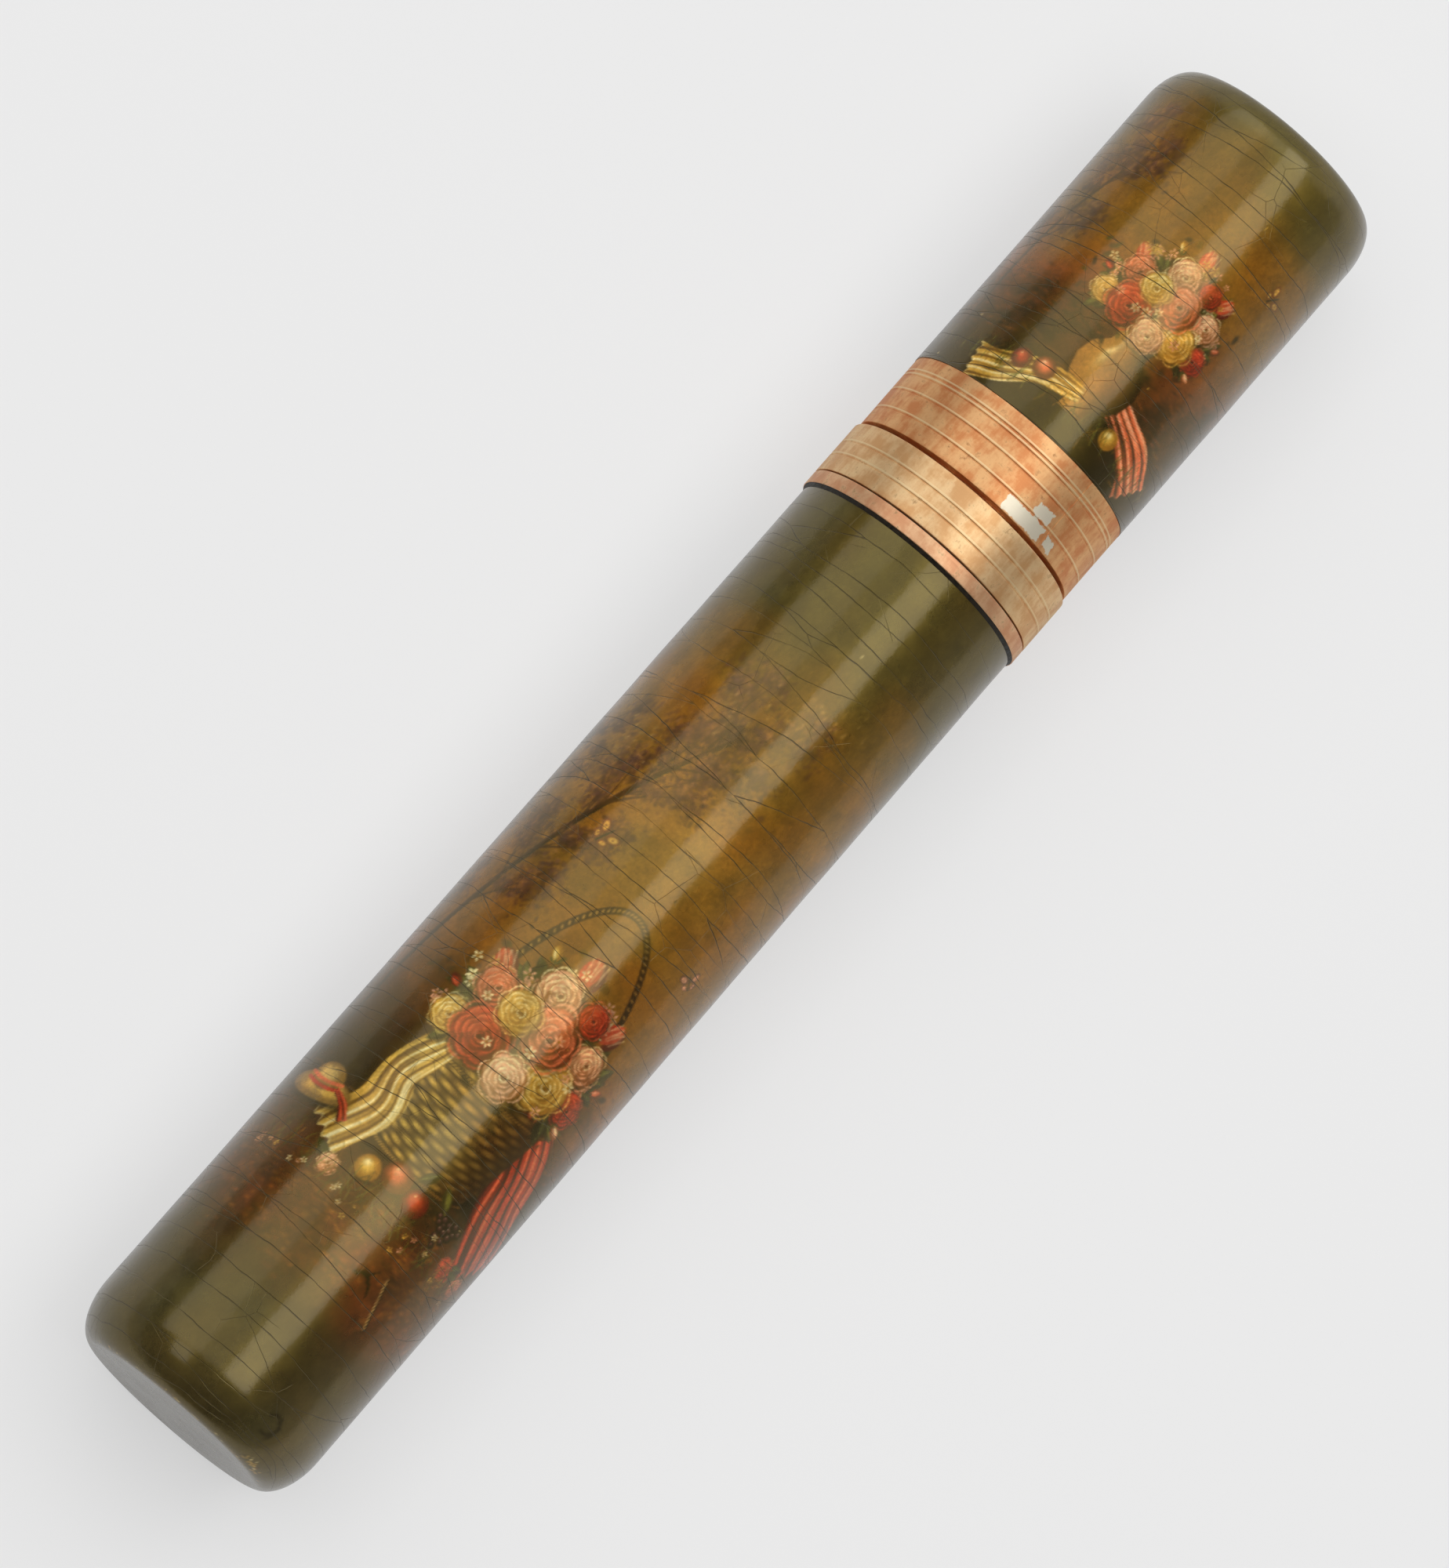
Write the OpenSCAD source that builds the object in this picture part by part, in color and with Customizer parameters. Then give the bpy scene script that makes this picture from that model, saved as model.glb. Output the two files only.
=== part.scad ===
// Lacquered needle case: a lined tube with a friction throat, and a pull-off cap with a metal mouth.
// The case lies along X on the plane z = 0, with its base at -X and its cap at +X.

/* [Body] */
// Length of the body from its base to the top face of the throat ring
body_l = 95.3; // [80:0.1:120]
// How much wider in radius the body is above its base shoulder than at its collar
body_taper = 0.25; // [0:0.05:0.8]
// Length of the rounded shoulder at the base
base_shoulder_l = 4.6; // [3:0.1:6]
// How far the base shoulder draws in
base_shoulder_w = 2.5; // [1.5:0.1:3]

/* [Cap] */
// Length of the cap from its mouth to its end
cap_l = 39.2; // [32:0.1:55]
// How much wider in radius the cap is below its end shoulder than beside its ring
cap_flare = 0.03; // [0:0.01:0.5]
// Length of the rounded shoulder at the cap's end
cap_shoulder_l = 3.7; // [2.5:0.1:5]
// How far the cap's end shoulder draws in
cap_shoulder_w = 1.8; // [1.2:0.1:2.8]

/* [Walls] */
// Radius of the space inside the case, on which the rings and the lacquer build up
bore_r = 8; // [6:0.1:12]
// Thickness of the shell lining
lining_t = 0.6; // [0.4:0.05:0.7]
// Thickness of the board between the cap's bezel and its ring's bedding
cap_board_t = 0.68; // [0.4:0.02:1.5]
// Thickness of the lacquer coats
lacquer_t = 0.5; // [0.4:0.05:0.6]
// Length of the spigot with which an end plug enters its tube
spigot_l = 3; // [2:0.1:6]

/* [Rings] */
// Wall of the outer metal bands
ring_t = 0.4; // [0.3:0.05:0.45]
// Thickness of a band's inward flange, which covers the end of the tube
flange_t = 0.35; // [0.25:0.05:0.5]
// How far the body's bands stand out past the cap ring
ring_step = 0.22; // [0:0.02:0.5]
// How far the body's bands stand out past the lacquer beside them
ring_proud = 0.25; // [0.1:0.05:0.4]
// How far the cap ring lies below the lacquer beside it
cap_ring_inset = 0.04; // [0:0.01:0.1]
// Width of the narrow collar band
collar_w = 1.25; // [0.8:0.05:2.5]
// Width of the dark joint between the collar and the throat ring
collar_gap = 0.14; // [0.1:0.02:0.3]
// Width of the throat ring
throat_ring_w = 4.85; // [3.5:0.05:7]
// Width of the cap ring
cap_ring_w = 6.9; // [5:0.1:9]
// Width of the dark bedding bead between lacquer and collar
bead_w = 0.32; // [0.2:0.02:0.6]
// Thickness of the bedding under the cap ring
cap_bed_t = 0.2; // [0.1:0.05:0.25]
// Width of an engraved line
line_w = 0.16; // [0.1:0.02:0.3]
// Depth of an engraved line
line_d = 0.06; // [0.02:0.01:0.1]
// Bevel on the bands' edges
ring_bevel = 0.07; // [0.02:0.01:0.12]

/* [Throat] */
// How far the throat stands out of the body
throat_l = 14; // [9:0.5:18]
// How far the throat sleeve reaches down into the body tube
throat_seat_l = 9; // [6:0.5:14]
// Wall of the throat sleeve
throat_t = 0.4; // [0.3:0.05:0.45]
// Thickness of the rim turned in over the lining's end
throat_rim_t = 0.3; // [0.2:0.05:0.5]
// Wall of the cap's inner bezel
bezel_t = 0.35; // [0.25:0.05:0.4]
// Radial clearance between the throat and the bezel
fit_clearance = 0.05; // [0.03:0.01:0.08]
// Open seam between the throat ring and the cap ring, as the cap sits at rest
seam_gap = 0.45; // [0.42:0.01:1]
// Room left past the throat's rim when the cap is pushed home
rim_clearance = 0.5; // [0.3:0.1:2]

/* [Hidden] */
// Engraved lines, as distances from the edge of the band nearer the base
throat_ring_lines = [1.6, 2.95];
cap_ring_lines = [1.55, 3.5, 5.05, 5.45];
// The soldered seams of the bands, as turns about the case's axis from the top, towards -Y
seam_w = 0.07;
seam_d = 0.05;
cap_seam_turn = 35.7;
throat_seam_turn = 205;
collar_seam_turn = 160;

// Radii of the fit and of the cap, from the bore outwards
lining_r = bore_r + lining_t;
throat_r = lining_r + throat_t;
bezel_bore_r = throat_r + fit_clearance;
bezel_r = bezel_bore_r + bezel_t;
cap_collar_core_r = bezel_r + cap_board_t;
cap_ring_bore_r = cap_collar_core_r + cap_bed_t;
cap_ring_r = cap_ring_bore_r + ring_t;
cap_mouth_r = cap_ring_r + cap_ring_inset;
cap_end_r = cap_mouth_r + cap_flare;

// Radii of the body, from its bands inwards
ring_r = cap_ring_r + ring_step;
ring_bore_r = ring_r - ring_t;
body_top_r = ring_r - ring_proud;
body_base_r = body_top_r + body_taper;
collar_core_r = body_top_r - lacquer_t;

// Stations along the body, from its base
throat_ring_at = body_l - throat_ring_w;
collar_at = throat_ring_at - collar_gap - collar_w;
lacquer_end = collar_at - bead_w;
core_end = body_l - flange_t;
floor_at = base_shoulder_l + spigot_l;
mouth_at = body_l + throat_l;

// Stations along the cap, from its mouth
bezel_l = throat_l + rim_clearance;
cap_tube_end = cap_l - cap_shoulder_l;
cap_ceiling_at = cap_tube_end - spigot_l;

// The case as a whole
cap_at = body_l + seam_gap;
total_l = cap_at + cap_l;
axis_z = max(ring_r, body_base_r, cap_end_r, cap_mouth_r);
shoulder_steps = 14;
$fn = 96;

// Places a piece, drawn along +Z from its own station 0, on the case's axis
module on_axis(station) {
    translate([station - total_l / 2, 0, axis_z]) rotate([0, 90, 0]) children();
}

// Turns a closed outline of [radius, station] points about the axis
module turned(outline) {
    rotate_extrude() polygon(outline);
}

// Quarter ellipse from the flat end at station 0 out to radius r at station l
function shoulder(r, w, l, inset = 0) = [
    for (i = [0 : shoulder_steps])
        let (a = 90 * i / shoulder_steps)
        [r - w + (w - inset) * sin(a), l - (l - inset) * cos(a)]
];

// The same quarter ellipse at the far end of a piece whose end is at station total
function end_shoulder(r, w, l, total, inset = 0) = [
    for (p = shoulder(r, w, l, inset)) [p[0], total - p[1]]
];

// Straight ring of stations from..to between two radii, with its outer edges bevelled
function band(r_in, r_out, from, to) = [
    [r_in, from], [r_out - ring_bevel, from], [r_out, from + ring_bevel],
    [r_out, to - ring_bevel], [r_out - ring_bevel, to], [r_in, to]
];

// V-shaped lines turned into the outer face of a band of radius r
module turned_lines(r, stations) {
    for (s = stations)
        turned([[r + line_d, s - line_w], [r - line_d, s], [r + line_d, s + line_w]]);
}

// The fine seam along a band's outer face, where the rolled strip was soldered
module solder_seam(r, turn, from, to) {
    rotate([0, 0, 180 + turn]) translate([r - seam_d, -seam_w / 2, from])
        cube([seam_d + ring_t, seam_w, to - from]);
}

module body_tube() {
    color("tan") on_axis(0) turned([
        [lining_r, base_shoulder_l], [body_base_r - lacquer_t, base_shoulder_l],
        [collar_core_r, lacquer_end], [collar_core_r, core_end], [throat_r, core_end],
        [throat_r, body_l - throat_seat_l], [lining_r, body_l - throat_seat_l]
    ]);
}

module body_end_plug() {
    color("burlywood") on_axis(0) turned(concat(
        [[0, lacquer_t]],
        shoulder(body_base_r, base_shoulder_w, base_shoulder_l, lacquer_t),
        [[lining_r, base_shoulder_l], [lining_r, floor_at], [0, floor_at]]
    ));
}

module body_lacquer() {
    inner = shoulder(body_base_r, base_shoulder_w, base_shoulder_l, lacquer_t);
    color("darkolivegreen") on_axis(0) turned(concat(
        [[0, 0]],
        shoulder(body_base_r, base_shoulder_w, base_shoulder_l),
        [[body_top_r, lacquer_end], [collar_core_r, lacquer_end]],
        [for (i = [shoulder_steps : -1 : 0]) inner[i]],
        [[0, lacquer_t]]
    ));
}

module body_lining() {
    color("saddlebrown") on_axis(0) turned([
        [bore_r, floor_at + lining_t], [lining_r, floor_at + lining_t],
        [lining_r, mouth_at - throat_rim_t], [bore_r, mouth_at - throat_rim_t]
    ]);
}

module body_lining_floor() {
    color("saddlebrown") on_axis(floor_at) cylinder(r = lining_r, h = lining_t);
}

module collar_bedding() {
    color("black") on_axis(0) turned([
        [collar_core_r, lacquer_end], [body_top_r, lacquer_end], [ring_r - ring_bevel, collar_at],
        [ring_bore_r, collar_at], [ring_bore_r, core_end], [collar_core_r, core_end]
    ]);
}

module collar_ring() {
    color("peru") on_axis(0) difference() {
        turned(band(ring_bore_r, ring_r, collar_at, collar_at + collar_w));
        solder_seam(ring_r, collar_seam_turn, collar_at - 1, collar_at + collar_w + 1);
    }
}

module throat_ring() {
    color("peru") on_axis(0) difference() {
        turned([
            [ring_bore_r, throat_ring_at], [ring_r - ring_bevel, throat_ring_at],
            [ring_r, throat_ring_at + ring_bevel], [ring_r, body_l - ring_bevel],
            [ring_r - ring_bevel, body_l], [throat_r, body_l],
            [throat_r, core_end], [ring_bore_r, core_end]
        ]);
        turned_lines(ring_r, [for (s = throat_ring_lines) throat_ring_at + s]);
        solder_seam(ring_r, throat_seam_turn, throat_ring_at - 1, body_l + 1);
    }
}

module throat_sleeve() {
    color("sienna") on_axis(0) turned([
        [lining_r, body_l - throat_seat_l], [throat_r, body_l - throat_seat_l],
        [throat_r, mouth_at - ring_bevel], [throat_r - ring_bevel, mouth_at],
        [bore_r + ring_bevel, mouth_at], [bore_r, mouth_at - ring_bevel],
        [bore_r, mouth_at - throat_rim_t], [lining_r, mouth_at - throat_rim_t]
    ]);
}

module cap_tube() {
    color("tan") on_axis(cap_at) turned([
        [bezel_r, flange_t], [cap_collar_core_r, flange_t], [cap_collar_core_r, cap_ring_w],
        [cap_mouth_r - lacquer_t, cap_ring_w], [cap_end_r - lacquer_t, cap_tube_end],
        [lining_r, cap_tube_end], [lining_r, bezel_l], [bezel_r, bezel_l]
    ]);
}

module cap_end_plug() {
    color("burlywood") on_axis(cap_at) turned(concat(
        [[0, cap_l - lacquer_t]],
        end_shoulder(cap_end_r, cap_shoulder_w, cap_shoulder_l, cap_l, lacquer_t),
        [[lining_r, cap_tube_end], [lining_r, cap_ceiling_at], [0, cap_ceiling_at]]
    ));
}

module cap_lacquer() {
    inner = end_shoulder(cap_end_r, cap_shoulder_w, cap_shoulder_l, cap_l, lacquer_t);
    color("darkolivegreen") on_axis(cap_at) turned(concat(
        [[0, cap_l]],
        end_shoulder(cap_end_r, cap_shoulder_w, cap_shoulder_l, cap_l),
        [[cap_mouth_r, cap_ring_w], [cap_mouth_r - lacquer_t, cap_ring_w]],
        [for (i = [shoulder_steps : -1 : 0]) inner[i]],
        [[0, cap_l - lacquer_t]]
    ));
}

module cap_lining() {
    color("saddlebrown") on_axis(cap_at) turned([
        [bore_r, bezel_l], [lining_r, bezel_l],
        [lining_r, cap_ceiling_at - lining_t], [bore_r, cap_ceiling_at - lining_t]
    ]);
}

module cap_lining_ceiling() {
    color("saddlebrown") on_axis(cap_at + cap_ceiling_at - lining_t)
        cylinder(r = lining_r, h = lining_t);
}

module cap_ring_bedding() {
    color("black") on_axis(cap_at) turned([
        [cap_collar_core_r, flange_t], [cap_ring_bore_r, flange_t],
        [cap_ring_bore_r, cap_ring_w], [cap_collar_core_r, cap_ring_w]
    ]);
}

module cap_ring() {
    color("peru") on_axis(cap_at) difference() {
        turned([
            [bezel_r, 0], [cap_ring_r - ring_bevel, 0], [cap_ring_r, ring_bevel],
            [cap_ring_r, cap_ring_w - ring_bevel], [cap_ring_r - ring_bevel, cap_ring_w],
            [cap_ring_bore_r, cap_ring_w], [cap_ring_bore_r, flange_t], [bezel_r, flange_t]
        ]);
        turned_lines(cap_ring_r, cap_ring_lines);
        solder_seam(cap_ring_r, cap_seam_turn, -1, cap_ring_w + 1);
    }
}

module cap_bezel() {
    color("sienna") on_axis(cap_at) turned([
        [bezel_bore_r + ring_bevel, 0], [bezel_r, 0], [bezel_r, bezel_l],
        [bezel_bore_r, bezel_l], [bezel_bore_r, ring_bevel]
    ]);
}

body_tube();
body_end_plug();
body_lacquer();
body_lining();
body_lining_floor();
collar_bedding();
collar_ring();
throat_ring();
throat_sleeve();
cap_tube();
cap_end_plug();
cap_lacquer();
cap_lining();
cap_lining_ceiling();
cap_ring_bedding();
cap_ring();
cap_bezel();
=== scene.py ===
"""Studio scene of a slender painted lacquer needle case with a pull-off cap and copper-gold bands.

The case lies along X on the floor z = 0, its base towards -X. Sizes are in millimetres and become metres where a
mesh, a lamp or the camera is made. An angle about the case's axis is measured from its top towards -Y.
"""

import math

import bpy
import numpy as np
from mathutils import Matrix, Vector


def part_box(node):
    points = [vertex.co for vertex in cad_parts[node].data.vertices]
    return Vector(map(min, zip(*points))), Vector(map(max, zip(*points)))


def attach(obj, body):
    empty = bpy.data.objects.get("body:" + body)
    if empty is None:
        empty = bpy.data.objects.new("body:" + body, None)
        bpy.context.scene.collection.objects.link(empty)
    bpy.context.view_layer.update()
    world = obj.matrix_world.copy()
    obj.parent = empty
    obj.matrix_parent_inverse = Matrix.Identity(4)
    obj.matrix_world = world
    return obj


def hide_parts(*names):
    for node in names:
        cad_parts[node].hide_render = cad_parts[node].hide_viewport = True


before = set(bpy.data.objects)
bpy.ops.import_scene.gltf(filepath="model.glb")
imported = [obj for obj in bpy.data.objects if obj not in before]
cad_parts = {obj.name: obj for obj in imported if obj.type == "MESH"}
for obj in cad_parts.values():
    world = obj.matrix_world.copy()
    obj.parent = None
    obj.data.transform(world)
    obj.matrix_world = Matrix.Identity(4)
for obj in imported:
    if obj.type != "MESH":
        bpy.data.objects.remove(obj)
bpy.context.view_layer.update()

MM = 0.001

# Build of the case, as its solids have it
COAT = 0.5
BASE_SHOULDER = (2.5, 4.6)
CAP_SHOULDER = (1.8, 3.7)
RING_PROUD = 0.25
CAP_RING_INSET = 0.04
RING_WALL = 0.4
FLANGE = 0.35
BEVEL = 0.07
LINE_HALF = 0.16
LINE_DEPTH = 0.06
THROAT_LINES = (1.6, 2.95)
CAP_LINES = (1.55, 3.5, 5.05, 5.45)
SEAM_WIDTH = 0.07
SEAM_DEPTH = 0.05
COLLAR_SEAM = math.radians(160)
THROAT_SEAM = math.radians(205)
CAP_SEAM = math.radians(35.7)

# Pale bare patches of the cap's band: first and last distance from its mouth, first and last angle in degrees
BARE_PATCHES = ((0.1, 1.5, 10, 34), (1.6, 2.8, 23, 33), (0.3, 1.3, 36.5, 43))
BARE = (0.97, 0.94, 0.85)
# Colour of the painted highlight beside each turned groove of the bands
GROOVE_HIGHLIGHT = (0.99, 0.88, 0.68)
GOLD_SHEEN = (1.0, 0.72, 0.12, 1.0)


def spans(node):
    """A node's first and last station along X and its outer radius, in millimetres."""
    low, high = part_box(node)
    return low[0] / MM, high[0] / MM, (high[2] - low[2]) / 2 / MM


AXIS = sum(corner[2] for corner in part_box("throat_ring")) / 2 / MM


# Colours, as they look on a screen


def linear(colour):
    """Screen colour values as the linear ones that light works in."""
    c = np.asarray(colour, float)
    return np.where(c <= 0.04045, c / 12.92, ((np.maximum(c, 0) + 0.055) / 1.055) ** 2.4)


def rgba(*colour):
    return (*linear(colour).tolist(), 1.0)


# Turned pieces


def shoulder(edge, wide, long, inset=0.0, steps=24):
    """Quarter ellipse (station, radius) from the flat end at station 0 out to the side, whose radius is edge."""
    turns = np.linspace(0, math.pi / 2, steps + 1)
    return [(long - (long - inset) * math.cos(t), edge - wide + (wide - inset) * math.sin(t)) for t in turns]


def finer(outline, step):
    """The outline with points added so that none are further apart than step, which may depend on the station."""
    points = [outline[0]]
    for (x0, r0), (x1, r1) in zip(outline, outline[1:]):
        size = step((x0 + x1) / 2) if callable(step) else step
        if callable(step) and abs(x1 - x0) > 1:
            cuts = [x0]
            while cuts[-1] < x1:
                cuts.append(cuts[-1] + step(cuts[-1]))
            shares = [(c - x0) / (cuts[-1] - x0) for c in cuts[1:]]
        else:
            count = max(1, math.ceil(math.hypot(x1 - x0, r1 - r0) / size))
            shares = [(k + 1) / count for k in range(count)]
        points += [(x0 + (x1 - x0) * s, r0 + (r1 - r0) * s) for s in shares]
    return points


def even_turns(sides, towards_top=0.0):
    """Angles round the axis, closer together at the top by towards_top."""
    turns = np.arange(sides) * 2 * math.pi / sides - math.pi
    return turns - towards_top * np.sin(turns)


def waves(stations, turns, seed, length, depth):
    """Smooth unevenness between -depth and 0, of about that wavelength, that closes on itself round the case."""
    rng = np.random.default_rng(seed)
    total = np.zeros(np.broadcast(stations, turns).shape)
    count = 9
    for _ in range(count):
        along = rng.uniform(-1, 1) * 2 * math.pi / length
        around = round(rng.uniform(-1, 1) * 2 * math.pi * AXIS / length)
        total += np.sin(along * stations + around * turns + rng.uniform(0, 2 * math.pi))
    return depth * (np.clip(total / math.sqrt(count), -1.5, 1.5) / 3 - 0.5)


def notch(turns, at, depth):
    """Depth of a solder seam for each angle, given turns that hold its middle and edges."""
    off = np.abs((turns - at + math.pi) % (2 * math.pi) - math.pi)
    return np.where(off * AXIS < SEAM_WIDTH * 0.3, -depth, 0.0)


def with_seam(turns, at):
    half = SEAM_WIDTH / 2 / AXIS
    return np.sort(np.concatenate([turns, at + half * np.array([-1.3, -0.5, 0, 0.5, 1.3])]))


def lathe(name, outline, body, nodes, turns, relief):
    """Turns a closed outline of (station, radius) points about the axis into one piece that stands for nodes.

    An outline that starts and ends on the axis is closed there. relief(stations, radii, turns) gives how far each
    point moves outwards.
    """
    points = np.array(outline, float)
    area = np.sum(points[:, 0] * np.roll(points[:, 1], -1) - np.roll(points[:, 0], -1) * points[:, 1])
    if area > 0:
        points = points[::-1]
    capped = points[0, 1] == 0
    rows = points[1:-1] if capped else points
    count, sides = len(rows), len(turns)
    station, radius = rows[:, :1], rows[:, 1:]
    moved = radius + relief(station, radius, turns[None, :])
    places = np.stack([station + 0 * moved, -moved * np.sin(turns), AXIS + moved * np.cos(turns)], -1)
    places = places.reshape(-1, 3)
    nxt = (np.arange(sides) + 1) % sides
    near = np.arange(count if not capped else count - 1)
    a = near[:, None] * sides + np.arange(sides)
    b = near[:, None] * sides + nxt
    far = (near + 1) % count
    quads = np.stack([a, b, far[:, None] * sides + nxt, far[:, None] * sides + np.arange(sides)], -1).reshape(-1, 4)
    faces = quads.tolist()
    gaps = np.hypot(*(np.roll(points, -1, 0) - points).T)
    along = np.concatenate([[0], np.cumsum(gaps[: len(points) - 1 if capped else len(points)])])
    along /= along[-1]
    column = np.arange(sides)
    left, right = column / sides, (column + 1) / sides
    low, high = (near + 1, near + 2) if capped else (near, near + 1)
    u = np.stack([left, right, right, left], -1)[None].repeat(len(near), 0)
    v = np.stack([along[low], along[low], along[high], along[high]], -1)[:, None].repeat(sides, 1)
    uv = np.stack([u, v], -1).reshape(-1, 2)
    if capped:
        first, last = len(places), len(places) + 1
        places = np.concatenate([places, [[points[0, 0], 0, AXIS], [points[-1, 0], 0, AXIS]]])
        end = (count - 1) * sides
        faces += [[first, int(nxt[j]), int(j)] for j in column]
        faces += [[end + int(j), end + int(nxt[j]), last] for j in column]
        middle = (left + right) / 2
        ends = [np.stack([middle, right, left], -1), np.stack([left, right, middle], -1)]
        tips = [(0, along[1], along[1]), (along[-2], along[-2], 1)]
        uv = np.concatenate([uv] + [np.stack([u, 0 * u + v], -1).reshape(-1, 2) for u, v in zip(ends, tips)])
    mesh = bpy.data.meshes.new(name)
    mesh.from_pydata((places * MM).tolist(), [], faces)
    mesh.uv_layers.new(name="OFBake").data.foreach_set("uv", uv.astype(np.float32).ravel())
    mesh.shade_smooth()
    mesh.set_sharp_from_angle(angle=math.radians(32))
    piece = bpy.data.objects.new(name, mesh)
    bpy.context.scene.collection.objects.link(piece)
    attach(piece, body)
    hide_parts(*nodes)
    return piece


# The painter, who works on an unrolled canvas

PAINT = {
    "night": (0.10, 0.075, 0.035),
    "earth": (0.19, 0.13, 0.05),
    "olive": (0.26, 0.22, 0.095),
    "moss": (0.235, 0.20, 0.105),
    "amber": (0.475, 0.305, 0.075),
    "honey": (0.53, 0.355, 0.11),
    "russet": (0.36, 0.165, 0.07),
    "rust": (0.46, 0.235, 0.085),
    "umber": (0.23, 0.125, 0.05),
    "plum": (0.27, 0.145, 0.115),
    "mauve": (0.42, 0.28, 0.225),
    "leaf": (0.21, 0.23, 0.075),
    "spring": (0.46, 0.43, 0.15),
    "scarlet": (0.70, 0.17, 0.085),
    "coral": (0.84, 0.38, 0.22),
    "wine": (0.32, 0.065, 0.045),
    "blush": (0.88, 0.60, 0.43),
    "cream": (0.93, 0.84, 0.58),
    "straw": (0.80, 0.61, 0.24),
    "ochre": (0.57, 0.37, 0.10),
    "slate": (0.27, 0.29, 0.21),
}
PAINT = {name: np.array(value) for name, value in PAINT.items()}
RED = ("wine", "scarlet", "coral")
PINK = ("russet", "coral", "blush")
PALE = ("rust", "blush", "cream")
YELLOW = ("ochre", "straw", "cream")
DOTS = 12


def mixed(a, b, share):
    return PAINT[a] * (1 - share) + PAINT[b] * share


def ramp(value, low, high):
    """0 below low, 1 above high, and smooth between."""
    t = np.clip((value - low) / (high - low), 0, 1)
    return t * t * (3 - 2 * t)


def aside(at, turn, far):
    """The point far mm from at along turn."""
    return np.array([at[0] + far * math.cos(turn), at[1] + far * math.sin(turn)])


class Canvas:
    """A painting wrapped round the case, in millimetres: x round it from the top, y along it."""

    def __init__(self, girth, low, high, seed):
        self.girth, self.low, self.high = girth, low, high
        self.rows = int((high - low) * DOTS) + 2
        self.cols = int(girth * DOTS)
        self.step = girth / self.cols
        self.rng = np.random.default_rng(seed)
        self.y = low + np.arange(self.rows) / DOTS
        self.rgb = np.zeros((self.rows, self.cols, 3))

    def cloud(self, size, stretch=1.0):
        """Smooth noise of spread 1 whose blotches are size mm across and stretch times longer along y."""
        white = self.rng.standard_normal((self.rows, self.cols))
        fy = np.fft.fftfreq(self.rows, 1 / DOTS)[:, None] * stretch
        fx = np.fft.rfftfreq(self.cols, self.step)[None, :]
        soft = np.fft.irfft2(np.fft.rfft2(white) * np.exp(-((fx**2 + fy**2) * size**2) * 2), s=white.shape)
        return soft / soft.std()

    def near(self, at, reach):
        """The rows and columns round a point, and each dot's distance from it along x and y."""
        first = max(0, math.ceil((at[1] - reach - self.low) * DOTS))
        rows = np.arange(first, min(self.rows, math.floor((at[1] + reach - self.low) * DOTS) + 1))
        cols = np.arange(math.ceil((at[0] - reach) / self.step), math.floor((at[0] + reach) / self.step) + 1)
        where = np.ix_(rows, cols % self.cols)
        return where, (cols * self.step - at[0])[None, :], (self.low + rows / DOTS - at[1])[:, None]

    def lay(self, where, colour, cover):
        under = self.rgb[where]
        self.rgb[where] = under + np.clip(cover, 0, 1)[..., None] * (colour - under)

    def dab(self, at, long, wide, turn, colour, cover=1.0, soft=0.45, point=0.0):
        """One touch of the brush: an oval turned from +x, whose ends point sharpens."""
        where, dx, dy = self.near(at, max(long, wide) + 0.1)
        c, s = math.cos(turn), math.sin(turn)
        u = (dx * c + dy * s) / long
        v = (dy * c - dx * s) / wide
        if point:
            v = v / np.maximum(1 - point * u * u, 0.05)
        self.lay(where, colour, cover * ramp(-np.hypot(u, v), -1, soft - 1))

    def stroke(self, a, b, wide_a, wide_b, colour, cover=1.0, soft=0.5):
        """A straight touch from a to b whose half-width goes from wide_a to wide_b."""
        a, b = np.array(a, float), np.array(b, float)
        span = b - a
        length = max(math.hypot(*span), 1e-6)
        where, dx, dy = self.near((a + b) / 2, length / 2 + max(wide_a, wide_b) + 0.1)
        px, py = dx + span[0] / 2, dy + span[1] / 2
        t = np.clip((px * span[0] + py * span[1]) / length**2, 0, 1)
        off = np.hypot(px - t * span[0], py - t * span[1])
        self.lay(where, colour, cover * ramp(-off / (wide_a + (wide_b - wide_a) * t), -1, soft - 1))

    def line(self, points, wide_a, wide_b, colour, cover=1.0, soft=0.5):
        """A run of touches through points."""
        n = len(points) - 1
        for i in range(n):
            wa, wb = (wide_a + (wide_b - wide_a) * k / n for k in (i, i + 1))
            self.stroke(points[i], points[i + 1], wa, wb, colour, cover, soft)

    def arc(self, at, r, start, end, wide, colour, cover=1.0, squash=1.0, tilt=0.0):
        """A thin curved touch round at that swells in its middle."""
        steps = 6
        turns = np.linspace(start, end, steps + 1)
        c, s = math.cos(tilt), math.sin(tilt)
        u, v = r * np.cos(turns), r * squash * np.sin(turns)
        points = np.stack([at[0] + u * c - v * s, at[1] + u * s + v * c], -1)
        swell = wide * (0.35 + 0.65 * np.sin(math.pi * np.arange(steps + 1) / steps))
        for i in range(steps):
            self.stroke(points[i], points[i + 1], swell[i], swell[i + 1], colour, cover, 0.8)

    def colours_at(self, x, y):
        """Colours between the dots at points x, y, which are arrays of one shape."""
        col = np.asarray(x) / self.step
        row = np.clip((np.asarray(y) - self.low) * DOTS, 0, self.rows - 1.001)
        c0, r0 = np.floor(col).astype(int), np.floor(row).astype(int)
        fc, fr = (col - c0)[..., None], (row - r0)[..., None]
        c0, c1 = c0 % self.cols, (c0 + 1) % self.cols
        low = self.rgb[r0, c0] * (1 - fc) + self.rgb[r0, c1] * fc
        high = self.rgb[r0 + 1, c0] * (1 - fc) + self.rgb[r0 + 1, c1] * fc
        return low * (1 - fr) + high * fr


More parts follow.
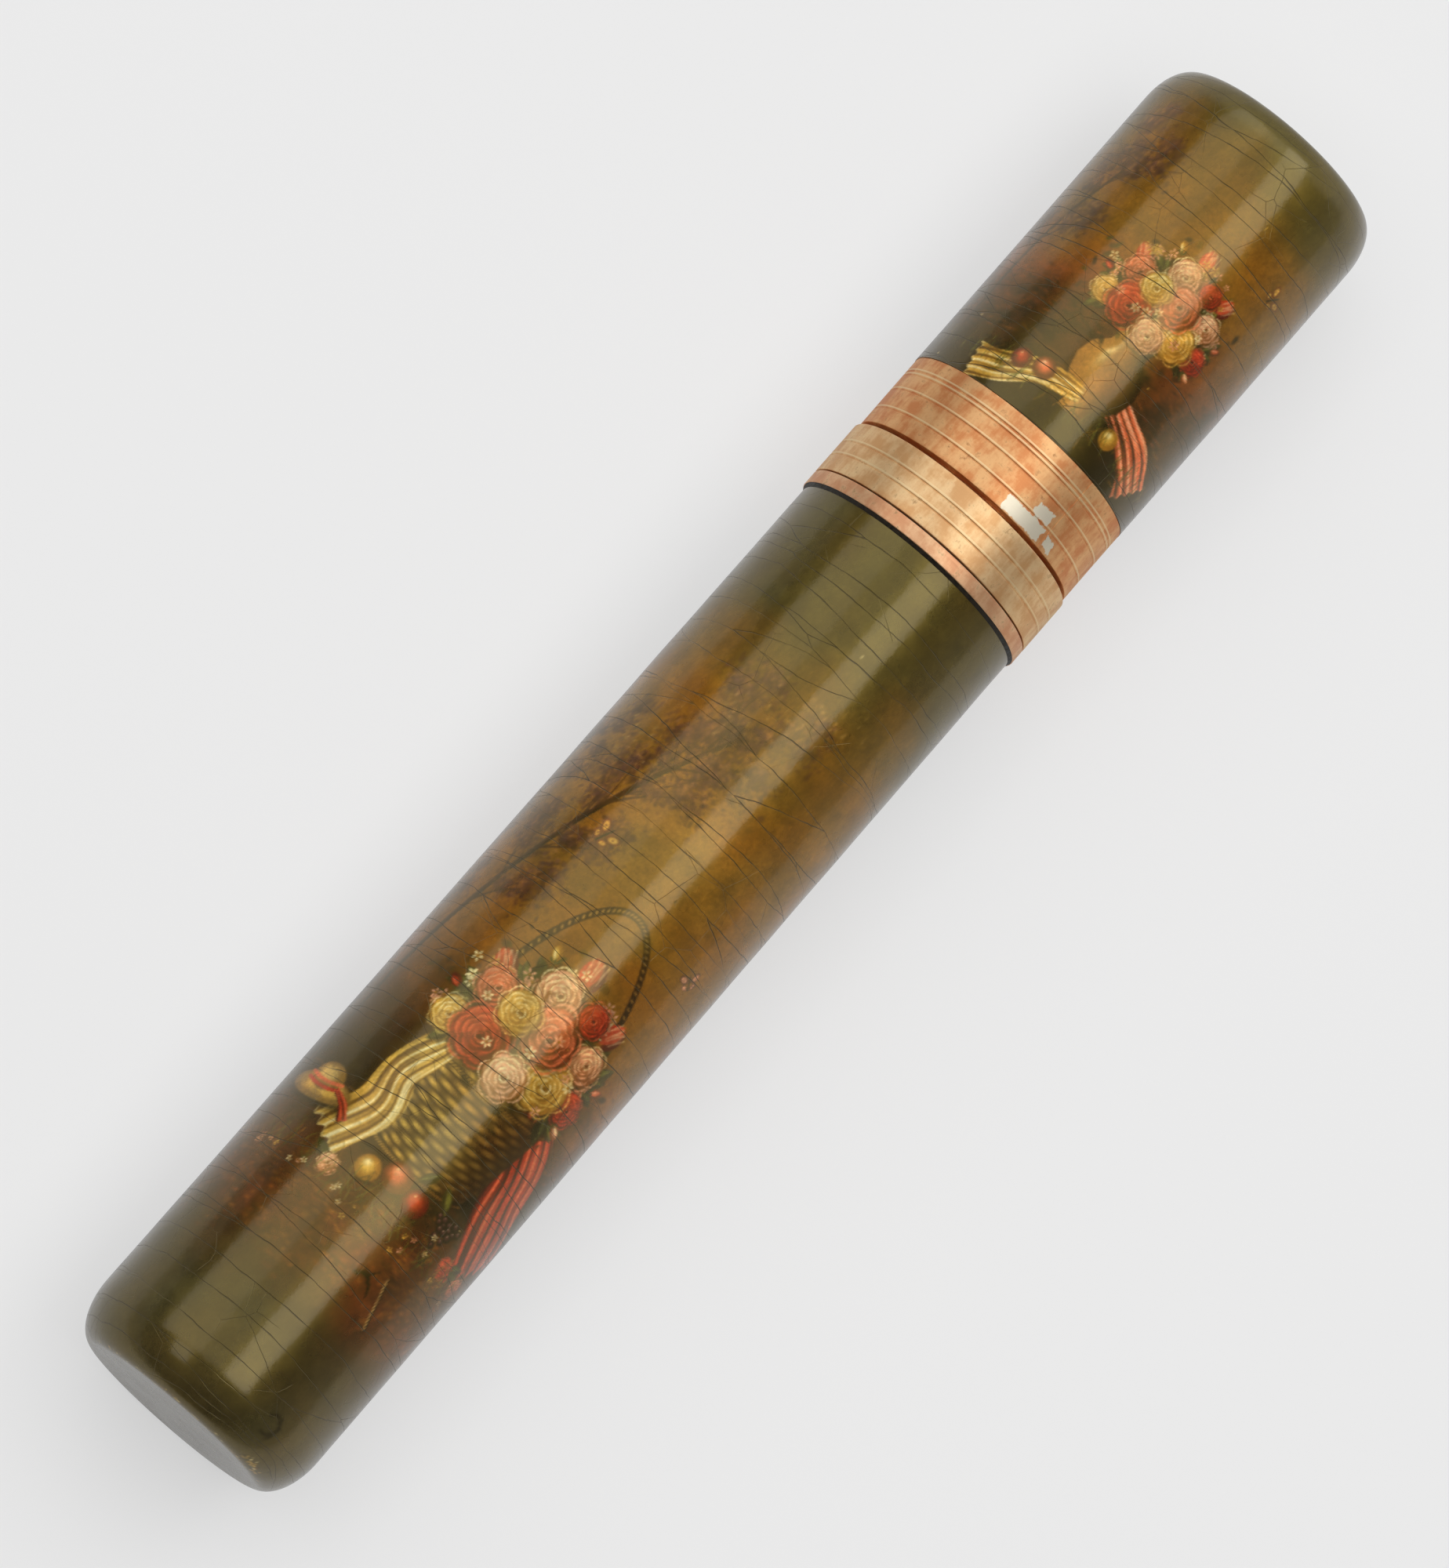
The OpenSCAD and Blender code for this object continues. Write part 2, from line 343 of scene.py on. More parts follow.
def bend(a, b, bow, steps=8):
    """Points from a to b on an arc that bows out to its left by bow mm."""
    a, b = np.array(a, float), np.array(b, float)
    side = np.array([a[1] - b[1], b[0] - a[0]]) / max(math.hypot(*(b - a)), 1e-6)
    return [a + (b - a) * t + side * bow * 4 * t * (1 - t) for t in np.linspace(0, 1, steps + 1)]


def curve(marks, steps=8):
    """A smooth run of points through marks."""
    marks = np.array([marks[0], *marks, marks[-1]], float)
    points = []
    for p0, p1, p2, p3 in zip(marks, marks[1:], marks[2:], marks[3:]):
        for t in np.linspace(0, 1, steps, endpoint=False):
            points.append(0.5 * (2 * p1 + (p2 - p0) * t + (2 * p0 - 5 * p1 + 4 * p2 - p3) * t**2
                                 + (3 * p1 - p0 - 3 * p2 + p3) * t**3))
    return np.array([*points, marks[-1]])


# Flowers, leaves and fruit


def ball(cv, at, r, deep, mid, light, cover=0.97):
    """A round fruit lit from the upper left, with a soft gleam."""
    cv.dab(at, r, r, 0, PAINT[deep], cover, 0.2)
    cv.dab(aside(at, 2.4, r * 0.14), r * 0.82, r * 0.8, 0, PAINT[mid], 0.9, 0.8)
    cv.dab(aside(at, 2.3, r * 0.36), r * 0.5, r * 0.42, 0.6, PAINT[light], 0.75, 0.95)
    cv.dab(aside(at, 2.2, r * 0.48), r * 0.16, r * 0.11, 0.6, PAINT["cream"], 0.7, 0.9)


def petal(cv, at, turn, out, size, tones, lit):
    """A cupped petal that leans out from at along turn, shaded at its root and bright along its turned edge."""
    deep, mid, light = (PAINT[t] for t in tones)
    rng = cv.rng
    side = turn + math.pi / 2
    wide, long = size * rng.uniform(0.92, 1.1), size * rng.uniform(0.62, 0.74)
    body = (deep * (1 - lit) + mid * lit) * rng.uniform(0.9, 1.08)
    bright = mid * (1 - lit) + light * lit
    cv.dab(aside(at, turn, out), wide, long, side, body, 0.96, 0.25)
    cv.dab(aside(at, turn + rng.normal(0, 0.1), out + long * 0.22), wide * 0.76, long * 0.5, side, bright, 0.7, 0.9)
    cv.dab(aside(at, turn, out - long * 0.62), wide * 0.7, long * 0.34, side, deep, 0.65, 0.9)
    cv.arc(aside(at, turn, out - long * 0.1), wide * 0.92, -1.2, 1.2, size * 0.13, bright * 1.04, 0.6, 0.98, turn)
    cv.arc(aside(at, turn, out), wide * 1.05, -1.1, 1.1, size * 0.09, deep * 0.8, 0.35, 0.95, turn)


def rose(cv, at, r, tones, face=0.9):
    """A full rose that faces along face, its petals laid from the outside in towards a tight bud."""
    rng = cv.rng
    cv.dab(at, r * 1.05, r, 0, PAINT[tones[0]] * 0.8, 0.9, 0.25)
    for count, out, size in ((7, 0.6, 0.47), (6, 0.43, 0.41), (5, 0.28, 0.34), (4, 0.15, 0.25)):
        start = rng.uniform(0, 2 * math.pi)
        around = [start + 2 * math.pi * k / count for k in range(count)]
        for turn in sorted(around, key=lambda t: math.cos(t - face)):
            turn += rng.normal(0, 0.1)
            lit = 0.5 + 0.42 * math.cos(turn - 2.3)
            petal(cv, at, turn, out * r * rng.uniform(0.92, 1.06), size * r, tones, lit)
    heart = aside(at, face, r * 0.05)
    cv.dab(heart, r * 0.2, r * 0.17, 0, PAINT[tones[0]] * 0.8, 0.85, 0.6)
    for k in range(3):
        start = 0.6 + 2.1 * k
        cv.arc(heart, r * (0.08 + 0.055 * k), start, start + 3, r * 0.04, PAINT[tones[2 if k else 1]], 0.7)


def bud(cv, at, r, turn, tones):
    """A half-open bud on its green cup."""
    deep, mid, light = (PAINT[t] for t in tones)
    cv.dab(at, r, r * 0.6, turn, deep, 0.95, 0.3, 0.35)
    cv.dab(aside(at, turn + 1.6, r * 0.12), r * 0.85, r * 0.36, turn + 0.1, mid, 0.85, 0.5, 0.5)
    cv.dab(aside(at, turn + 1.8, r * 0.2), r * 0.6, r * 0.14, turn + 0.14, light, 0.8, 0.6, 0.5)
    for side in (-0.5, 0, 0.5):
        foot = aside(at, turn + math.pi + side, r * 0.72)
        cv.dab(foot, r * 0.42, r * 0.13, turn - side, PAINT["leaf"], 0.9, 0.4, 0.6)


def tulip(cv, at, r, turn, tones):
    """A striped tulip whose cup opens along turn."""
    deep, mid, light = (PAINT[t] for t in tones)
    across = np.array([-math.sin(turn), math.cos(turn)])
    for side, shade in ((-0.45, deep), (0.45, mid), (0.0, mid * 0.85 + light * 0.1)):
        lean = turn - 0.3 * side
        middle = np.array(at) + across * side * r * 0.75
        cv.dab(middle, r, r * 0.43, lean, shade, 0.95, 0.3, 0.5)
        cv.dab(aside(middle, turn, r * 0.3), r * 0.6, r * 0.2, lean, light, 0.35, 0.9, 0.5)
        for k in (-0.4, 0.3):
            foot = middle + across * k * r * 0.2 - aside((0, 0), turn, r * 0.4)
            tip = middle + across * k * r * 0.4 + aside((0, 0), turn, r * 0.75)
            cv.stroke(foot, tip, r * 0.04, r * 0.07, light, 0.45)


def daisy(cv, at, r, petals, colour, heart, turn0=0.0):
    for k in range(petals):
        turn = turn0 + 2 * math.pi * k / petals
        shade = PAINT[colour] * cv.rng.uniform(0.75, 1.05)
        cv.dab(aside(at, turn, 0.56 * r), r * 0.46, r * 0.25, turn, shade, 0.9, 0.5, 0.4)
    cv.dab(at, r * 0.26, r * 0.24, 0, PAINT[heart], 0.95, 0.5)


def leaf(cv, at, turn, long, shade):
    """A pointed leaf with its veins, dark below and lit above."""
    middle = aside(at, turn, long * 0.5)
    cv.dab(middle, long * 0.54, long * 0.23, turn, PAINT["night"] * 0.5 + shade * 0.4, 0.92, 0.25, 0.8)
    lit = 1 if math.cos(turn) < 0 else -1
    upper = aside(middle, turn - lit * math.pi / 2, long * 0.055)
    cv.dab(upper, long * 0.45, long * 0.13, turn, shade * 1.15, 0.8, 0.6, 0.8)
    cv.line(bend(at, aside(at, turn, long), long * 0.04, 4), 0.06, 0.035, mixed("spring", "cream", 0.2), 0.4)


def sprig(cv, at, turn, long, count=3):
    """A few leaves on one stalk."""
    cv.line(bend(at, aside(at, turn, long), cv.rng.normal(0, 0.25), 5), 0.08, 0.05, PAINT["leaf"], 0.8)
    for k in range(count):
        foot = aside(at, turn, long * (0.25 + 0.7 * k / count))
        side = 1 if k % 2 else -1
        shade = mixed("leaf", "moss" if k % 3 else "spring", cv.rng.uniform(0.1, 0.7))
        leaf(cv, foot, turn + side * cv.rng.uniform(0.45, 0.95), long * cv.rng.uniform(0.5, 0.75), shade)
    leaf(cv, aside(at, turn, long * 0.75), turn, long * 0.5, mixed("leaf", "spring", 0.5))


def bouquet(cv, at, scale):
    """Roses, tulips and small flowers that spill over the rim at at."""
    rng = cv.rng
    at = np.array(at, float)

    def spot(x, y):
        return at + scale * np.array([x, y])

    shades = [PAINT["night"] * 0.7, PAINT["moss"] * 0.6, PAINT["leaf"] * 0.8]
    foliage(cv, spot(0, 3.4), (6.4 * scale, 4.8 * scale), shades, 300, 0.5 * scale, 0.7)
    for k in range(22):
        turn = math.pi * (-0.12 + 1.24 * k / 21) + rng.normal(0, 0.1)
        foot = spot(2.6 * math.cos(turn), 1.8 + 2.4 * max(0, math.sin(turn)))
        sprig(cv, foot, turn, scale * rng.uniform(2.6, 4.2), 4)
    for x, y, r, cup in ((-5.0, 6.6, 1.35, 2.1), (4.6, 7.8, 1.3, 1.0), (0.3, 10.0, 1.35, 1.65)):
        cv.line(bend(at, spot(x, y), 0.4, 6), 0.12, 0.08, PAINT["leaf"], 0.8)
        tulip(cv, spot(x, y), r * scale, cup, ("wine", "scarlet", "cream"))
    for k in range(11):
        turn = math.pi * (k + 0.5) / 11 + rng.normal(0, 0.1)
        tip = spot(rng.uniform(5.4, 7.4) * math.cos(turn), 1.5 + rng.uniform(5.4, 8.0) * math.sin(turn))
        cv.line(bend(spot(0, 2), tip, rng.normal(0, 0.5), 6), 0.08, 0.05, PAINT["leaf"], 0.6)
        for _ in range(5):
            tone = ("cream", "blush", "straw")[k % 3]
            daisy(cv, tip + rng.normal(0, 0.5 * scale, 2), scale * rng.uniform(0.4, 0.6), 5, tone, "ochre", turn)
    for x, y, r, tones in (
        (-5.7, 1.4, 1.6, YELLOW), (5.8, 1.9, 1.55, RED), (-4.3, 4.9, 1.75, PINK), (4.5, 5.0, 1.7, PALE),
        (-0.6, 7.3, 2.0, PALE), (2.6, 7.6, 1.4, RED), (-2.9, 1.6, 2.5, RED), (3.0, 1.9, 2.35, YELLOW),
        (0.9, 4.6, 2.5, PINK), (-1.9, 4.6, 1.8, YELLOW), (0.3, 0.4, 1.9, PALE),
    ):
        cv.dab(spot(x + 0.25, y - 0.3), r * scale * 1.15, r * scale * 1.1, 0, PAINT["night"], 0.5, 0.6)
        rose(cv, spot(x, y), r * scale, tones, rng.uniform(0, 2 * math.pi))
    for x, y, turn, tones in ((-7.0, 3.6, 2.7, RED), (7.0, 4.2, 0.5, PINK), (-2.6, 9.4, 2.0, YELLOW),
                              (6.3, 0.2, -0.5, PALE)):
        bud(cv, spot(x, y), 0.8 * scale, turn, tones)
    for k in range(7):
        place = spot(rng.uniform(-5, 5), rng.uniform(-0.4, 6.5))
        daisy(cv, place, scale * rng.uniform(0.45, 0.65), 6, ("cream", "blush")[k % 2], "ochre", k)


# Trees and ground


def foliage(cv, at, spread, shades, count, size, cover=0.7, level=0.0):
    """A cloud of leaf touches, from the darkest shade to the lightest, the light ones up and to the left.

    The touches lie the more level, the nearer level is to 1.
    """
    for i in range(count):
        share = i / count
        shade = shades[min(int(share * len(shades)), len(shades) - 1)]
        x, y = np.clip(cv.rng.normal(0, 0.5, 2), -1.3, 1.3)
        place = (at[0] + spread[0] * (x - 0.22 * share), at[1] + spread[1] * (y + 0.25 * share))
        long = size * cv.rng.uniform(0.6, 1.6)
        wide = long * cv.rng.uniform(0.4, 0.75) * (1 - 0.45 * level)
        turn = cv.rng.uniform(-1, 1) * math.pi / 2 * (1 - 0.8 * level)
        colour = shade * cv.rng.uniform(0.82, 1.18)
        cv.dab(place, long, wide, turn, colour, cover * cv.rng.uniform(0.35, 1), 0.65)


def tree(cv, marks, wide, crown, shades, touches, size):
    """A leaning trunk through marks with forked boughs that carry clouds of leaves."""
    rng = cv.rng
    trunk = curve(marks, 7)
    n = len(trunk)
    clumps = [(trunk[-1], 1.0, n - 2)]
    for k in range(int(n * 0.42), n, 2):
        side = 1 if (k // 2) % 2 else -1
        run = trunk[min(k + 1, n - 1)] - trunk[k - 1]
        turn = math.atan2(run[1], run[0]) + side * rng.uniform(0.45, 1.0)
        reach = crown * rng.uniform(0.55, 1.0)
        end = aside(trunk[k], turn, reach)
        clumps.append((end, rng.uniform(0.7, 1.0), k - 1))
        clumps.append((aside(end, turn - side * 0.9, reach * 0.5), rng.uniform(0.4, 0.7), k))
        clumps.append((aside(trunk[k], turn, reach * 0.45), 0.5, k - 1))
    for place, share, _ in clumps:
        cv.dab(place, crown * 0.42 * share, crown * 0.3 * share, 0.3, shades[0], 0.3, 0.95)
        spread = (crown * 0.5 * share, crown * 0.36 * share)
        foliage(cv, place, spread, shades[:2], int(touches * share), size, 0.5)
    cv.line(trunk, wide, wide * 0.25, PAINT["umber"] * 0.9, 0.9)
    cv.line(trunk + np.array([wide * 0.45, 0]), wide * 0.45, wide * 0.12, PAINT["night"], 0.7)
    cv.line(trunk - np.array([wide * 0.5, 0]), wide * 0.2, wide * 0.06, PAINT["mauve"], 0.5)
    for place, share, k in clumps[1:]:
        cv.line(bend(trunk[k], place, rng.normal(0, 0.4), 6), wide * 0.38 * share, 0.05, PAINT["umber"], 0.8)
    for place, share, _ in clumps:
        spread = (crown * 0.42 * share, crown * 0.28 * share)
        foliage(cv, (place[0] - 0.3, place[1] + 0.4), spread, shades[1:], int(touches * 0.8 * share), size * 0.8, 0.55)


def bush(cv, at, spread, shades, touches, size=0.4):
    """A bush of several rounded masses, each darker below."""
    for _ in range(6):
        x, y = cv.rng.uniform(-0.6, 0.6), cv.rng.uniform(-0.55, 0.55)
        place = (at[0] + spread[0] * x, at[1] + spread[1] * y)
        under = (place[0], place[1] - spread[1] * 0.12)
        cv.dab(under, spread[0] * 0.36, spread[1] * 0.3, 0, shades[0] * 0.85, 0.4, 0.95)
        foliage(cv, place, (spread[0] * 0.36, spread[1] * 0.3), shades, touches, size, 0.5, 1)


def bank(cv, y, shades, touches):
    """Uneven ground all round the case, with a lit edge of turf at height y."""
    for x in np.arange(-cv.girth / 2, cv.girth / 2, 1.1):
        rise = 0.7 * math.sin(0.9 * x) + 0.5 * math.sin(2.1 * x + 1)
        foliage(cv, (x, y - 2.2 + rise), (1.8, 2.4), shades, touches, 0.45, 0.6, 1)
        tone = mixed("ochre", "rust", cv.rng.uniform())
        cv.dab((x, y + rise * 0.6), 1.3, 0.2, cv.rng.normal(0, 0.15), tone, 0.35, 0.9)


def grass(cv, y, tall, shades, count):
    """Blades that rise from height y, all round the case."""
    for _ in range(count):
        foot = (cv.rng.uniform(-0.5, 0.5) * cv.girth, y + cv.rng.normal(0, 0.5))
        tip = (foot[0] + cv.rng.normal(0, tall * 0.3), foot[1] + tall * cv.rng.uniform(0.5, 1.1))
        shade = shades[cv.rng.integers(len(shades))] * cv.rng.uniform(0.8, 1.2)
        cv.line(bend(foot, tip, cv.rng.normal(0, 0.3), 4), 0.09, 0.04, shade, 0.55)


def ground(cv, bands):
    """Lays bands of colour along y, each (y, colour), blended into each other with ragged edges."""
    y = cv.y[:, None] + 1.2 * cv.cloud(9) + 0.5 * cv.cloud(3)
    ys = [b[0] for b in bands]
    for c in range(3):
        cv.rgb[..., c] = np.interp(y, ys, [b[1][c] for b in bands])


# Things set among the flowers


def cloth(cv, marks, half, tones, folds=5):
    """A cloth that hangs through marks, half[0] mm to each side at its top and half[1] at its hem."""
    deep, mid, light = (PAINT[t] for t in tones)
    phase = cv.rng.uniform(0, 2 * math.pi, 4)
    spine = curve(marks, 9)
    run = np.gradient(spine, axis=0)
    step = np.hypot(*run.T)
    run /= step[:, None]
    middle = (spine.min(0) + spine.max(0)) / 2
    where, dx, dy = cv.near(middle, max(np.ptp(spine, axis=0)) / 2 + max(half) + 0.5)
    px = (dx + middle[0] + 0 * dy)[..., None] - spine[:, 0]
    py = (dy + middle[1] + 0 * dx)[..., None] - spine[:, 1]
    near = np.argmin(px**2 + py**2, axis=-1)
    px, py = (np.take_along_axis(p, near[..., None], -1)[..., 0] for p in (px, py))
    along, across = px * run[near, 0] + py * run[near, 1], py * run[near, 0] - px * run[near, 1]
    s = (near + along / step[near]) / (len(spine) - 1)
    u = -across / (half[0] + (half[1] - half[0]) * np.clip(s, 0, 1) ** 0.8)
    sway = 0.1 * np.sin(5 * s + phase[0]) + 0.05 * np.sin(11 * s + phase[1] + 2 * u)
    fold = folds * math.pi * (u + sway) + phase[2]
    lit = 0.5 + 0.33 * np.sin(fold) + 0.17 * np.sin(2.3 * fold + phase[3] + 3 * s) - 0.16 * u
    lit = np.clip(lit + 0.1 * np.sin(9 * s + 4 * u), 0, 1)[..., None]
    colour = deep * 0.7 + (mid - deep * 0.7) * ramp(lit, 0.1, 0.6) + (light - mid) * ramp(lit, 0.62, 0.98)
    hem = 1 - 0.03 * np.cos(fold) - s
    inside = ramp(1 + 0.04 * np.sin(14 * s) - np.abs(u), 0, 0.07) * ramp(hem, 0, 0.02) * ramp(s, -0.03, 0)
    cv.dab(middle + (0.5, -0.6), max(half) * 1.2, np.ptp(spine[:, 1]) * 0.5, 0, PAINT["night"], 0.4, 0.95)
    cv.lay(where, colour, inside * 0.97)
    cv.lay(where, light, inside * (1 - ramp(hem, 0.01, 0.05)) * 0.55)


def basket(cv, at, wide, tall):
    """A wicker basket on its foot, wider at its rim, lit from the left."""
    where, dx, dy = cv.near((at[0], at[1] + tall / 2), max(wide, tall) * 0.75)
    up = (dy + tall / 2) / tall
    half = wide / 2 * (0.7 + 0.3 * np.clip(up, 0, 1) ** 0.7)
    side = dx / half
    sag = up + 0.1 * (1 - side**2)
    inside = ramp(1 - np.abs(side), 0, 0.04) * ramp(sag, 0, 0.03) * ramp(1.0 - up, -0.05, 0.0)
    layer = sag * tall / 0.66
    cell = np.arcsin(np.clip(side, -1, 1)) / 0.22
    weave = np.abs(np.sin(math.pi * layer)) ** 0.8 * (0.66 + 0.34 * np.cos(math.pi * (cell + np.floor(layer))))
    light = np.clip(0.8 - 0.5 * side - 0.25 * side**2, 0.12, 1)[..., None]
    dark = PAINT["umber"] * 0.7
    cv.lay(where, dark + (PAINT["straw"] - dark) * np.clip(weave, 0, 1)[..., None] * light, inside * 0.97)
    count = int(wide / 0.32)
    for level, share in ((0, 0.72), (tall, 1.02)):
        for k in range(count):
            t = (k + 0.5) / count * 2 - 1
            place = (at[0] + t * wide / 2 * share, at[1] + level - 0.07 * wide * math.sqrt(1 - t * t))
            cv.dab(place, 0.4, 0.24, 0.6, PAINT["umber"] * 0.6, 0.8, 0.5)
            cv.dab(place, 0.32, 0.14, 0.6, mixed("straw", "umber", 0.2 + 0.3 * (t + 1)), 0.9, 0.5)


def handle(cv, at, wide, tall):
    """The basket's arched handle, bound with a twist of cane."""
    turns = np.linspace(0, math.pi, 60)
    arch = np.stack([at[0] - wide / 2 * np.cos(turns), at[1] + tall * np.sin(turns)], -1)
    cv.line(arch, 0.36, 0.36, PAINT["umber"] * 0.7, 0.95, 0.4)
    for i, t in enumerate(turns):
        lean = math.atan2(tall * math.cos(t), wide / 2 * math.sin(t))
        cv.dab(arch[i], 0.3, 0.15, lean + 0.8, mixed("straw", "umber", 0.2 + 0.5 * i / len(turns)), 0.85, 0.6)


def vessel(cv, foot, wide, tall, form, tones, flutes=0):
    """A turned vessel lit from the left; form holds the heights and half-widths of its outline, as shares."""
    heights, widths = form
    where, dx, dy = cv.near((foot[0], foot[1] + tall / 2), max(wide, tall) * 0.7)
    up = np.clip((dy + tall / 2) / tall, -0.2, 1.2)
    side = dx / (np.interp(up, heights, widths) * wide / 2)
    inside = ramp(1 - np.abs(side), 0, 0.05) * ramp(up, -0.02, 0.0) * ramp(1 - up, -0.02, 0.0)
    ribs = 0.14 * np.cos(np.arcsin(np.clip(side, -1, 1)) * flutes) * ((up > 0.28) & (up < 0.62)) if flutes else 0
    light = np.clip(1.0 - 0.8 * side - 0.55 * side**2 + 1.6 * ribs, 0, 1.6)[..., None]
    gleam = np.exp(-(((side + 0.42) / 0.12) ** 2) - ((up - 0.68) / 0.16) ** 2)[..., None]
    deep, mid, bright = (PAINT[t] for t in tones)
    shade = deep * 0.6 + (mid - deep * 0.6) * np.clip(light, 0, 1) + (bright - mid) * np.clip(light - 0.75, 0, 1)
    cv.lay(where, shade + (PAINT["cream"] - shade) * gleam * 0.7, inside * 0.97)
    for level in heights[1:-1:2]:
        reach = np.interp(level, heights, widths) * wide / 2
        y = foot[1] + level * tall
        cv.line(bend((foot[0] - reach, y), (foot[0] + reach, y), -0.25, 5), 0.07, 0.07, deep * 0.6, 0.6)


URN = ((0.0, 0.07, 0.08, 0.16, 0.24, 0.4, 0.62, 0.74, 0.8, 0.9, 0.91, 1.0),
       (0.56, 0.56, 0.34, 0.2, 0.26, 0.8, 1.0, 0.9, 0.62, 0.7, 0.96, 0.96))
JAR = ((0.0, 0.05, 0.12, 0.3, 0.5, 0.68, 0.8, 0.88, 0.94, 1.0),
       (0.5, 0.5, 0.44, 0.86, 1.0, 0.88, 0.56, 0.5, 0.6, 0.64))


def hat(cv, at, r):
    """A wide straw hat lying on the ground, with a ribbon round its crown."""
    x, y = at
    cv.dab((x + 0.3, y - 0.5), r * 1.08, r * 0.34, 0.02, PAINT["night"] * 0.7, 0.8, 0.5)
    cv.dab(at, r, r * 0.34, 0.05, mixed("straw", "umber", 0.5), 0.97, 0.15)
    cv.dab((x - 0.2, y + 0.12), r * 0.94, r * 0.28, 0.05, PAINT["straw"], 0.85, 0.4)
    for k in range(5):
        tone = mixed("umber", "straw", 0.3)
        cv.arc((x, y + 0.1), r * (0.55 + 0.09 * k), 0, 2 * math.pi, 0.07, tone, 0.35, 0.31, 0.05)
    cv.dab((x + 0.1, y + r * 0.27), r * 0.5, r * 0.36, 0, mixed("straw", "umber", 0.5), 0.97, 0.15)
    cv.dab((x - 0.15, y + r * 0.32), r * 0.42, r * 0.28, 0, mixed("straw", "cream", 0.4), 0.85, 0.7)
    for rise, tone in ((0.1, "scarlet"), (0.24, "coral")):
        ribbon = bend((x - r * 0.5, y + r * rise), (x + r * 0.51, y + r * rise), -0.3)
        cv.line(ribbon, 0.22, 0.22, PAINT[tone], 0.85)
    cloth(cv, [(x + r * 0.45, y + r * 0.12), (x + r * 0.8, y - 0.2), (x + r * 1.05, y - 1.4)], (0.2, 0.5), RED, 2)


def butterfly(cv, at, r, turn, colour, edge):
    across = turn + math.pi / 2
    for side in (-1, 1):
        for out, back, size in ((0.62, 0.3, 0.62), (0.45, -0.42, 0.42)):
            place = aside(aside(at, across, side * out * r), turn, back * r)
            cv.dab(place, r * size, r * size * 0.62, turn + side * 0.9, PAINT[edge], 0.95, 0.3)
            cv.dab(place, r * size * 0.75, r * size * 0.45, turn + side * 0.9, PAINT[colour], 0.9, 0.5)
            cv.dab(place, r * size * 0.2, r * size * 0.16, 0, PAINT[edge], 0.7, 0.5)
    cv.stroke(aside(at, turn, -r * 0.7), aside(at, turn, r * 0.6), 0.1, 0.09, PAINT["night"], 0.95)


def grapes(cv, at, rows):
    """A bunch of dark grapes that narrows downwards."""
    for row in range(rows):
        for k in range(rows - row):
            place = (at[0] + 0.62 * (k - (rows - row - 1) / 2), at[1] - 0.5 * row)
            place = np.array(place) + cv.rng.normal(0, 0.09, 2)
            ball(cv, place, 0.42 * cv.rng.uniform(0.85, 1.15), "night", "plum", "mauve")


# Wear of the paint


def flecks(cv, colours, count, size):
    """Small losses and stray touches."""
    for _ in range(count):
        place = (cv.rng.uniform(-0.5, 0.5) * cv.girth, cv.rng.uniform(cv.low, cv.high))
        long = size * cv.rng.uniform(0.5, 1.6)
        tone = colours[cv.rng.integers(len(colours))]
        cv.dab(place, long, long * cv.rng.uniform(0.5, 1), cv.rng.uniform(0, math.pi), tone,
               cv.rng.uniform(0.4, 0.9), 0.5)


def aged(cv):
    """Mottles the whole painting, as old varnish does."""
    for size, depth in ((7, 0.04), (1.6, 0.04), (0.4, 0.03), (0.15, 0.035)):
        cv.rgb *= 1 + depth * np.clip(cv.cloud(size), -2.5, 2.5)[..., None]
    warm = 0.03 * np.clip(cv.cloud(4), -2, 2)
    cv.rgb *= np.stack([1 + warm, 1 + 0 * warm, 1 - warm], -1)


def worn_foot(cv):
    """Knocks and rubs round the base: a hooked dark mark, scored lines and a chip on its edge."""
    night, gold, cream = PAINT["night"] * 0.7, PAINT["straw"], PAINT["cream"]
    cv.arc((6.6, 3.4), 0.9, -2.2, 2.6, 0.3, night, 0.85)
    cv.dab((7.3, 2.6), 0.5, 0.3, 1.0, night, 0.8, 0.5)
    cv.line(bend((4.0, 17.0), (5.4, 15.6), 0.3), 0.3, 0.1, night, 0.8)
    cv.line(bend((3.3, 16.6), (5.0, 17.9), -0.2), 0.24, 0.08, night, 0.8)
    for off, tone in ((0, mixed("ochre", "cream", 0.5)), (0.16, night)):
        cv.line([(5.9 + off, 17.9), (7.2 + off, 13.9)], 0.08, 0.1, tone, 0.75)
    for _ in range(34):
        place = (9.6 + cv.rng.normal(0, 0.8), 0.1 + cv.rng.normal(0, 0.4))
        tone = (cream, gold, PAINT["rust"], night)[cv.rng.integers(4)]
        cv.dab(place, cv.rng.uniform(0.1, 0.34), 0.1, cv.rng.uniform(0, math.pi), tone, 0.85, 0.5)
    for _ in range(260):
        place = (cv.rng.uniform(-0.5, 0.5) * cv.girth, -0.75 + cv.rng.normal(0, 0.2))
        tone = (cream, gold, PAINT["ochre"])[cv.rng.integers(3)]
        cv.dab(place, cv.rng.uniform(0.08, 0.5), 0.07, cv.rng.normal(0, 0.3), tone, cv.rng.uniform(0.2, 0.7), 0.6)


# The two paintings


